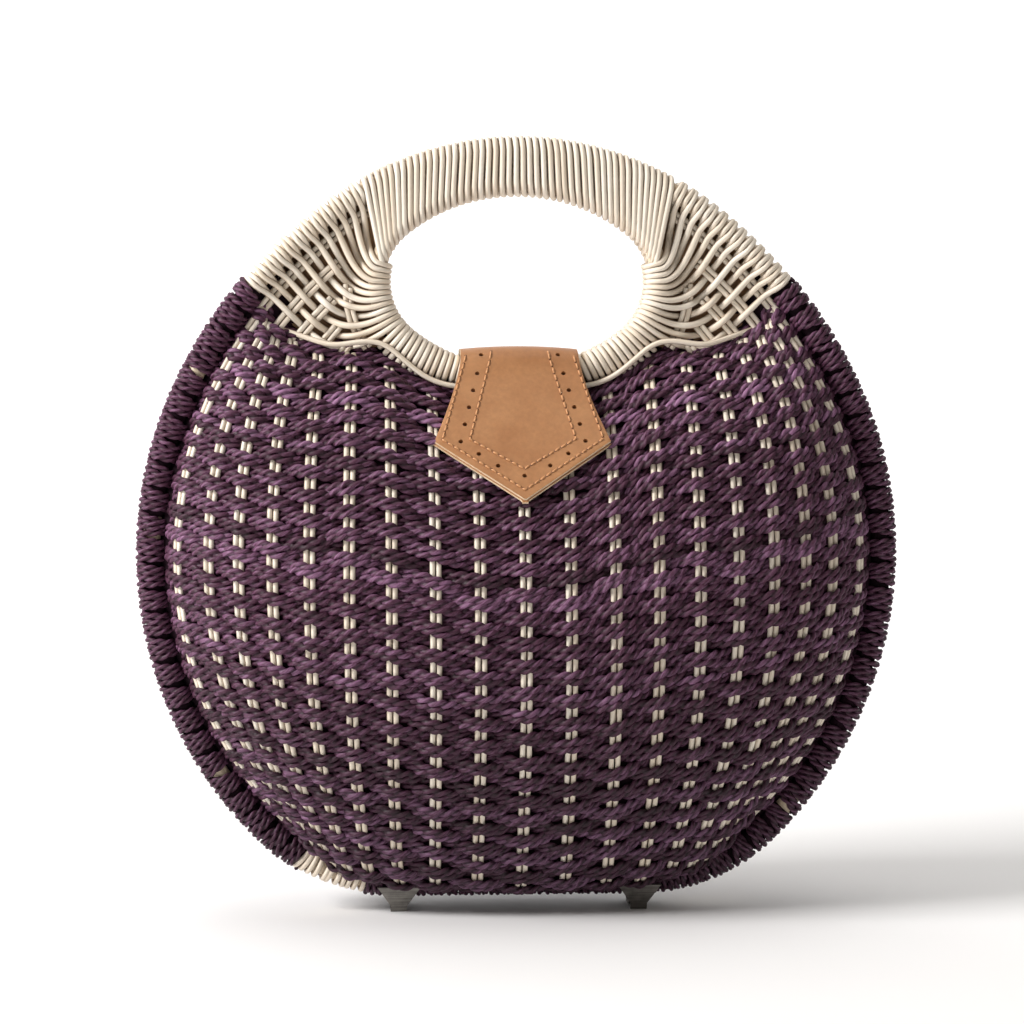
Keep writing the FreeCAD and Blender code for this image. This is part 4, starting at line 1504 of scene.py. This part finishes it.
    def add_stakes(self, draft: MeshDraft, side: int, draw: np.random.Generator) -> None:
        """Adds the pairs of reeds that the passes cross, at set distances from the hoop and one from the ring.

        Args:
            draft: Draft of the shoulder.
            side: Side of the shoulder.
            draw: Source of seeded chance.
        """
        alongs = np.linspace(self.stake_start, 1.0, self.stake_samples)
        lines = [self.pass_line(side, float(along))[0] for along in alongs]
        lengths = [run_lengths(line) for line in lines]
        rows = [[distance if distance < length[-1] - self.stake_clearance else None for length in lengths]
                for distance in self.stake_distances]
        first, last = self.last_stake_ends
        rows.append([length[-1] - self.last_stake_distance if first < along < last else None
                     for along, length in zip(alongs, lengths)])
        for row in rows:
            for half in (-0.5, 0.5):
                path = np.array([[np.interp(spot + half * self.stake_spacing, length, values) for values in line.T]
                                 for spot, line, length in zip(row, lines, lengths) if spot is not None])
                draft.add_tube(path, facing(FRONT, len(path)), self.form.reed_radius,
                               float(draw.uniform(*self.stake_tones)), self.section)

    def add_border(self, draft: MeshDraft, side: int) -> None:
        """Adds the reed that runs along the weave's top edge from inside the shoulder to under the flap.

        Args:
            draft: Draft of the shoulder.
            side: Side of the shoulder.
        """
        marks = np.array([[side * x, -self.border_depth, z] for x, z in self.border])
        marks[0, 1] = -self.border_tuck
        path = resample(marks, self.border_step)
        for _ in range(self.border_rounds):
            path[1:-1] = (path[:-2] + 2 * path[1:-1] + path[2:]) / 4
        draft.add_tube(path, facing(FRONT, len(path)), self.form.reed_radius, self.border_tone, self.section)

    def build_backing(self, side: int) -> MeshDraft:
        """Flat reeds behind a shoulder, side by side, which close it towards the inside, coloured as a shaded copy of
        the
        reed: painted shade.

        Args:
            side: Side of the shoulder.

        Returns:
            Their draft.
        """
        draft, draw = MeshDraft(), np.random.default_rng(self.backing_seed + side)
        for along in np.linspace(0.0, 1.0, self.backing_runs):
            line = self.pass_line(side, float(along))[0]
            path = line[1:-1:2] - self.backing_depth_share * self.turn_radius * FRONT
            draft.add_tube(path, facing(-FRONT, len(path)), self.backing_reed,
                           float(draw.uniform(*self.backing_tones)), self.backing_section)
        return draft

    def build_shoulder(self, side: int) -> MeshDraft:
        """Passes between hoop and ring, the stakes that they cross, and the border reed.

        Args:
            side: Side of the shoulder.

        Returns:
            Their draft.
        """
        draft, draw = MeshDraft(), np.random.default_rng(self.shoulder_seed + side)
        for number in range(self.pairs):
            self.add_weft(draft, side, number, float(draw.uniform(*self.tones)))
            self.add_return(draft, side, number, float(draw.uniform(*self.tones)))
        self.add_stakes(draft, side, draw)
        self.add_border(draft, side)
        return draft

    def build_ring(self) -> MeshDraft:
        """Reed round the low part of the ring, with longer turns where they reach down to the weave.

        Returns:
            Its draft.
        """
        draft, draw, ring = MeshDraft(), np.random.default_rng(self.ring_seed), self.form.ring
        reach = ring.length_at(self.ring_low_heading)
        turns = int(2 * reach / self.ring_pitch)
        angle = np.linspace(-math.pi, math.pi, self.ring_turn_points)
        stretched = np.array(self.ring_stretch_headings), np.array(self.ring_stretch_shares)
        for turn in range(turns):
            shift = turn + 0.5 + angle / (2 * math.pi) + self.ring_drift * draw.standard_normal()
            place = -reach + 2 * reach / turns * shift
            middle, outward = self.form.cane_points(ring, place)
            low = eased(np.abs(np.degrees(ring.at(place)[1])), *stretched)
            way = np.sin(angle)[:, None] * outward + np.cos(angle)[:, None] * FRONT
            stretch = self.ring_stretch * low * np.clip(np.sin(angle), 0.0, 1.0) ** 2
            path = middle + self.turn_radius * way + stretch[:, None] * outward
            draft.add_tube(path, way, self.reed, float(draw.uniform(*self.tones)), self.section)
        return draft

    def place(self) -> None:
        """Makes grips, shoulders and ring wraps of both halves."""
        grip, ring = self.build_grip(), self.build_ring()
        shoulders = {side: self.build_shoulder(side) for side in SIDES}
        backings = {side: self.build_backing(side) for side in SIDES}
        for half in Half:
            grip.place(half, "grip_reed", CREAM_REED, Slot.REED, "grip_wrap")
            ring.place(half, "ring_reed", CREAM_REED, Slot.REED, "ring_wrap")
            for side in SIDES:
                name = half.side_name(side)
                shoulders[side].place(half, f"shoulder_reed_{name}", CREAM_REED, Slot.REED, f"shoulder_{name}",
                                      f"shoulder_wrap_{name}")
                # The backing reeds take the painted shade reed.
                backings[side].place(half, f"shoulder_backing_{name}", PAINTED_SHADE_REED, Slot.REED)


@dataclass
class LeatherFlap:
    """Pointed flap of two leather layers over both rings, held by its tab on the back.

    Places on it are given by X and by the drop below the strap's top. Angles are in degrees.
    """

    form: BagForm
    leather: float = 0.0012
    bend_height: float = 0.213094
    bend_radius: float = 0.0061
    slope: float = 34.0
    strap_half: float = 0.0228
    wide_half: float = 0.0338
    wide_drop: float = 0.0338
    side_power: float = 1.45
    tip_drop: float = 0.0548
    tip_half: float = 0.0004
    tab_drop: float = 0.036
    inner_margin: float = 0.0008
    inner_back: float = 0.0055
    layer_gap: float = 0.0001
    crown_lift: float = 0.0011
    crown_lift_end: float = 0.02
    crown_lift_run: float = 0.012
    corner_lift: float = 0.0007
    corner_lift_drop: float = 0.022
    corner_lift_run: float = 0.02
    ease_back: Span = (-0.0105, -0.0035)
    bend_back: Span = (0.0112, 0.0052)
    table_end: float = 0.12
    table_points: int = 2000
    cells: tuple[int, int] = (24, 100)
    outer_shares: tuple[float, ...] = (0.0, 0.34, 0.52, 0.62, 0.70, 0.80, 1.0)
    inner_shares: tuple[float, ...] = (0.0, 0.45, 0.70, 0.85, 1.0)
    edge_bevel: float = 0.00022
    edge_segments: int = 2
    edge_angle: float = 50.0
    smooth_angle: float = 40.0
    hole_radius: float = 0.0009
    hole_section: Section = Section(16)
    hole_height: float = 0.003
    hole_length: float = 0.008
    holes: Marks = ((0.0150, 0.0016), (0.0168, 0.0080), (0.0186, 0.0144), (0.0204, 0.0208), (0.0222, 0.0272),
                    (0.0240, 0.0336), (0.0172, 0.0382), (0.0100, 0.0426))
    tip_hole: float = 0.0463
    outer_seam: Marks = ((0.0210, 0.0014), (0.0310, 0.0329), (0.0, 0.0515))
    inner_seam: Marks = ((0.0110, 0.0005), (0.0204, 0.0328), (0.0, 0.0438))
    stitch_pitch: float = 0.0027
    stitch_share: float = 0.72
    stitch_points: int = 6
    stitch_arch: float = 1.2
    stitch_sink: float = 0.5
    thread_radius: float = 0.00034
    thread_section: Section = Section(6, width=1.25)
    thread_tone: float = 0.75
    needle_radius: float = 0.00056
    needle_section: Section = Section(8)
    needle_ends: Span = (-0.0002, 0.00004)
    needle_hole_shade_tone: float = 0.0

    @property
    def turn(self) -> float:
        """Angle of the bend round a ring, in radians."""
        return math.radians(90.0 - self.slope)

    @property
    def bend_end(self) -> float:
        """Length along the under side from the strap's middle to the end of the bend."""
        return self.form.rim_offset + self.bend_radius * self.turn

    def profile(self, along: Array, lift: Array | float) -> tuple[Array, Array]:
        """Line of the leather over the rings, round the front or back one, and down its slope.

        Args:
            along: Lengths on the under side from the middle of the strap, positive to the front.
            lift: Distances from the under side.

        Returns:
            Y and Z.
        """
        size = np.abs(along)
        bent = np.clip((size - self.form.rim_offset) / self.bend_radius, 0.0, self.turn)
        past = np.maximum(size - self.bend_end, 0.0)
        y = (np.minimum(size, self.form.rim_offset) + (self.bend_radius + lift) * np.sin(bent)
             + past * math.cos(self.turn))
        z = self.bend_height + (self.bend_radius + lift) * np.cos(bent) - past * math.sin(self.turn)
        return np.where(along < 0, y, -y), z

    def drop_at(self, along: Array) -> Array:
        """Drop of the under side below the strap's top."""
        return self.bend_height + self.bend_radius - self.profile(along, 0.0)[1]

    def front_drop(self, along: Array) -> Array:
        """Drop in front of the strap's middle, and 0 behind it."""
        return np.where(along > 0, self.drop_at(along), 0.0)

    def along_at(self, drop: Array | float) -> Array:
        """Length on the under side to the front at a drop."""
        table = np.linspace(self.form.rim_offset, self.table_end, self.table_points)
        return np.interp(drop, self.drop_at(table), table)

    def half_width(self, along: Array) -> Array:
        """Half the outer layer's width.

        Args:
            along: Lengths on the under side.

        Returns:
            One half width for each length.
        """
        drop = self.front_drop(along)
        share = np.clip(drop / self.wide_drop, 0.0, 1.0)
        side = self.strap_half + (self.wide_half - self.strap_half) * share ** self.side_power
        low = np.clip((self.tip_drop - drop) / (self.tip_drop - self.wide_drop), 0.0, 1.0)
        return np.where(drop <= self.wide_drop, side, self.tip_half + (self.wide_half - self.tip_half) * low)

    def outer_lift(self, x: Array, along: Array) -> Array:
        """Lift of the outer layer's under side: over the inner layer in front, on the ring at the back.

        Args:
            x: Places in X.
            along: Lengths on the under side, of the same shape.

        Returns:
            One lift for each place.
        """
        share = np.clip((along - self.ease_back[0]) / (self.ease_back[1] - self.ease_back[0]), 0.0, 1.0)
        lift = (self.leather + self.layer_gap) * share ** 2 * (3 - 2 * share)
        low = np.clip((self.front_drop(along) - self.corner_lift_drop) / self.corner_lift_run, 0.0, 1.0)
        near = np.clip((self.crown_lift_end - np.abs(along)) / self.crown_lift_run, 0.0, 1.0)
        crown = np.clip(1 - (x / self.strap_half) ** 2, 0.0, 1.0) * near
        return lift + self.crown_lift * crown + self.corner_lift * low * np.clip(x / self.wide_half, 0.0, 1.0) ** 2

    def surface(self, x: Array, drop: Array, height: float) -> tuple[Array, Array]:
        """Places on the outer layer's face in front.

        Args:
            x: Places in X.
            drop: Drops below the strap's top, of the same shape.
            height: Height above the face.

        Returns:
            Points, and the ways out of the face.
        """
        along = self.along_at(drop)
        y, z = self.profile(along, self.outer_lift(x, along) + self.leather + height)
        bent = np.clip((along - self.form.rim_offset) / self.bend_radius, 0.0, self.turn)
        return np.column_stack([x, y, z]), np.column_stack([np.zeros(len(x)), -np.sin(bent), np.cos(bent)])

    def layer(self, name: str, shares: tuple[float, ...], ends: tuple[float, ...], margin: float,
              lifted: bool) -> bpy.types.Object:
        """Makes a layer of leather.

        Args:
            name: Name of the piece.
            shares: Shares of the layer, from its tip, for which lengths are given.
            ends: Lengths along the under side at these shares.
            margin: How far the layer stands out beyond the outer one's outline below.
            lifted: True for the outer layer, which lies on the inner one.

        Returns:
            The layer.
        """
        def place(first: Array, second: Array) -> Array:
            """Points of the layer's under side.

            Args:
                first: Shares of the grid across the layer.
                second: Shares of the grid from its tip to its back end.

            Returns:
                Points, one per row.
            """
            along = np.interp(second, shares, ends)
            low = np.clip(self.front_drop(along) / self.wide_drop, 0.0, 1.0)
            x = 2 * (first - 0.5) * (self.half_width(along) + margin * low)
            y, z = self.profile(along, self.outer_lift(x, along) if lifted else 0.0)
            return np.column_stack([x, y, z])
        piece = mapped_grid(name, self.cells, place)
        piece.data.materials.append(TAN_LEATHER.material())
        piece.data.materials.append(RAW_EDGE.material())
        apply_modifier(piece, "SOLIDIFY", thickness=self.leather, offset=1.0, material_offset_rim=1)
        apply_modifier(piece, "BEVEL", width=self.edge_bevel, segments=self.edge_segments, limit_method="ANGLE",
                       angle_limit=math.radians(self.edge_angle))
        return piece

    def punch(self, *layers: bpy.types.Object) -> None:
        """Cuts the round holes.

        Args:
            layers: Layers that the holes go through.
        """
        draft = MeshDraft()
        for x, drop in [(side * x, drop) for x, drop in self.holes for side in SIDES] + [(0.0, self.tip_hole)]:
            top, way = self.surface(np.array([x]), np.array([drop]), self.hole_height)
            path = top[0] - way[0] * np.linspace(0.0, self.hole_length, 3)[:, None]
            draft.add_tube(path, facing(FRONT + UP, len(path)), self.hole_radius, 0.0, self.hole_section)
        cutter = draft.make("flap_cutter", TAN_LEATHER)
        for layer in layers:
            apply_modifier(layer, "BOOLEAN", object=cutter, operation="DIFFERENCE", solver="EXACT")
        pick(cutter)
        bpy.ops.object.delete()

    def seam(self, draft: MeshDraft, half: Marks) -> None:
        """Adds a row of stitches, each with the needle's hole at its start, a short plug in the thread's darkest tone
        that is painted shade of the hole.

        Args:
            draft: Draft of the stitches.
            half: Seam on the right side as X and drop, ending in the middle. The left side is alike.
        """
        marks = np.array([(-x, drop) for x, drop in half[:-1]] + [half[-1]] + list(half[-2::-1]))
        spots = run_lengths(marks)
        count = int(round(spots[-1] / self.stitch_pitch))
        pitch, share = spots[-1] / count, np.linspace(0.0, 1.0, self.stitch_points)
        arch = self.thread_radius * (self.stitch_arch * np.sin(math.pi * share) - self.stitch_sink)
        for stitch in range(count):
            run = pitch * (stitch + (1 - self.stitch_share) / 2 + self.stitch_share * share)
            x, drop = (np.interp(run, spots, marks[:, axis]) for axis in (0, 1))
            points, way = self.surface(x, drop, 0.0)
            draft.add_tube(points + way * arch[:, None], way, self.thread_radius, self.thread_tone,
                           self.thread_section)
            # Painted shade: the needle's hole is a short plug of thread in its darkest tone.
            path = points[0] + way[0] * np.array(self.needle_ends)[:, None]
            draft.add_tube(path, facing(UP, len(path)), self.needle_radius, self.needle_hole_shade_tone, self.needle_section)

    def place(self) -> None:
        """Makes both layers, their holes and their seams."""
        tip, wide, tab = (self.along_at(drop) for drop in (self.tip_drop, self.wide_drop, self.tab_drop))
        bend, start = self.bend_end, self.form.rim_offset
        outer = self.layer("flap_leather", self.outer_shares, (tip, wide, bend, start, -start, -bend, -tab), 0.0, True)
        inner = self.layer("flap_lining", self.inner_shares,
                           (tip + self.inner_margin, wide, bend, start, -self.inner_back), self.inner_margin, False)
        self.punch(outer, inner)
        for piece in (outer, inner):
            pick(piece)
            bpy.ops.object.shade_smooth_by_angle(angle=math.radians(self.smooth_angle))
        seams = MeshDraft()
        for seam in (self.outer_seam, self.inner_seam):
            self.seam(seams, seam)
        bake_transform(outer)
        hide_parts("flap_outer", "flap_anchor")
        LOG.info("%s: %d faces, bends from %s to %s", outer.name, len(outer.data.polygons), Body.BACK.value,
                 Body.FLAP.value)
        dress_piece(inner, Body.FLAP, Slot.LEATHER, "flap_inner")
        dress_piece(seams.make("flap_stitches", THREAD), Body.FLAP, Slot.LEATHER)


@dataclass
class KeptSolids:
    """Solids that are shown as they are, with their finishes by the last word of their names."""

    finishes: dict[str, Finish] = field(default_factory=lambda: {
        "hoop": CANE, "ring": CANE, "leaf": STEEL, "pin": STEEL, "tacks": STEEL, "magnet": STEEL, "snap": STEEL,
        "rivets": STEEL})

    def place(self) -> None:
        """Gives each solid that is still shown the finish of its kind."""
        for name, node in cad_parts.items():
            finish = next((finish for word, finish in self.finishes.items() if name.endswith(word)), None)
            if finish and not node.hide_render:
                node.data.materials.clear()
                node.data.materials.append(finish.material())
                LOG.info("%s: %s", name, finish.name)


@dataclass(frozen=True)
class Lamp:
    """Soft square light: its place, the length of its sides, its power and its colour."""

    name: str
    place: Triple
    size: float
    watts: float
    colour: Triple

    def build(self, aim: Triple) -> None:
        """Adds the light.

        Args:
            aim: Triple that it points at.
        """
        data = bpy.data.lights.new(self.name, "AREA")
        data.energy, data.size, data.color = self.watts, self.size, self.colour
        lamp = link_object(self.name, data)
        lamp.location = self.place
        lamp.rotation_mode = "QUATERNION"
        lamp.rotation_quaternion = (Vector(aim) - Vector(self.place)).to_track_quat("-Z", "Y")


@dataclass
class Studio:
    """Floor, lights and camera, with the photograph's view. Angles are in degrees, and the sensor in millimetres."""

    distance: float = 1.3
    azimuth: float = -3.5
    elevation: float = 4.0
    aim: Triple = (-0.0026, -0.0067, 0.1578)
    frame_width: float = 0.4026
    sensor_mm: float = 36.0
    clip: Span = (0.05, 50.0)
    floor_cells: tuple[int, int] = (4, 120)
    floor_width: float = 12.0
    floor_front: float = 4.0
    floor_depth: float = 5.4
    floor_bend: float = 0.9
    wall_height: float = 4.0
    lamps: tuple[Lamp, ...] = (Lamp("key", (-1.6, -0.55, 1.1), 0.7, 47.0, (1.0, 0.98, 0.97)),
                               Lamp("fill", (1.1, -1.1, 0.9), 1.2, 0.8, (1.0, 0.88, 0.76)),
                               Lamp("top", (0.0, 0.1, 1.6), 1.2, 9.0, (1.0, 0.98, 0.95)))
    sky_colour: Colour = (1.0, 0.95, 0.9, 1.0)
    sky_strength: float = 0.19

    def camera(self) -> None:
        """Makes the camera, in front of the bag, a little to its left and above it."""
        data = bpy.data.cameras.new("camera")
        camera = link_object("camera", data)
        rise, turn = math.radians(self.elevation), math.radians(self.azimuth)
        back = Vector((math.sin(turn) * math.cos(rise), -math.cos(turn) * math.cos(rise), math.sin(rise)))
        camera.location = Vector(self.aim) + back * self.distance
        camera.rotation_mode = "QUATERNION"
        camera.rotation_quaternion = (-back).to_track_quat("-Z", "Y")
        data.sensor_width = self.sensor_mm
        data.lens = self.sensor_mm * self.distance / self.frame_width
        data.clip_start, data.clip_end = self.clip
        bpy.context.scene.camera = camera

    def backdrop(self) -> bpy.types.Object:
        """Makes the floor, which bends up into a wall behind the bag.

        Returns:
            The floor.
        """
        def place(first: Array, second: Array) -> Array:
            """Points of the backdrop.

            Args:
                first: Shares of the grid across it.
                second: Shares of the grid from its front to its top.

            Returns:
                Points, one per row.
            """
            quarter = self.floor_bend * math.pi / 2
            reach = second * (self.floor_depth + quarter + self.wall_height)
            bent = np.clip((reach - self.floor_depth) / self.floor_bend, 0.0, math.pi / 2)
            y = np.minimum(reach, self.floor_depth) - self.floor_front + self.floor_bend * np.sin(bent)
            z = self.floor_bend * (1 - np.cos(bent)) + np.maximum(reach - self.floor_depth - quarter, 0.0)
            return np.column_stack([self.floor_width * (first - 0.5), y, z])
        floor = mapped_grid("backdrop", self.floor_cells, place)
        bpy.ops.object.shade_smooth()
        floor.data.materials.append(BACKDROP.material())
        return floor

    def place(self) -> None:
        """Makes floor, lights, surroundings and camera."""
        self.backdrop()
        for lamp in self.lamps:
            lamp.build(self.aim)
        world = bpy.data.worlds.new("surroundings")
        world.use_nodes = True
        sky = world.node_tree.nodes["Background"]
        sky.inputs["Color"].default_value = self.sky_colour
        sky.inputs["Strength"].default_value = self.sky_strength
        bpy.context.scene.world = world
        bpy.context.scene.view_settings.view_transform = "Standard"
        self.camera()


def main() -> None:
    """Builds the bag's pieces in order, then the studio round them."""
    logging.basicConfig(level=logging.INFO, format="%(name)s: %(message)s")
    form = BagForm()
    for part in (ShellWeave(form), RimWrap(form), Handle(form), LeatherFlap(form), KeptSolids(), Studio()):
        part.place()
        LOG.info("%s done", type(part).__name__)


if __name__ == "__main__":
    main()
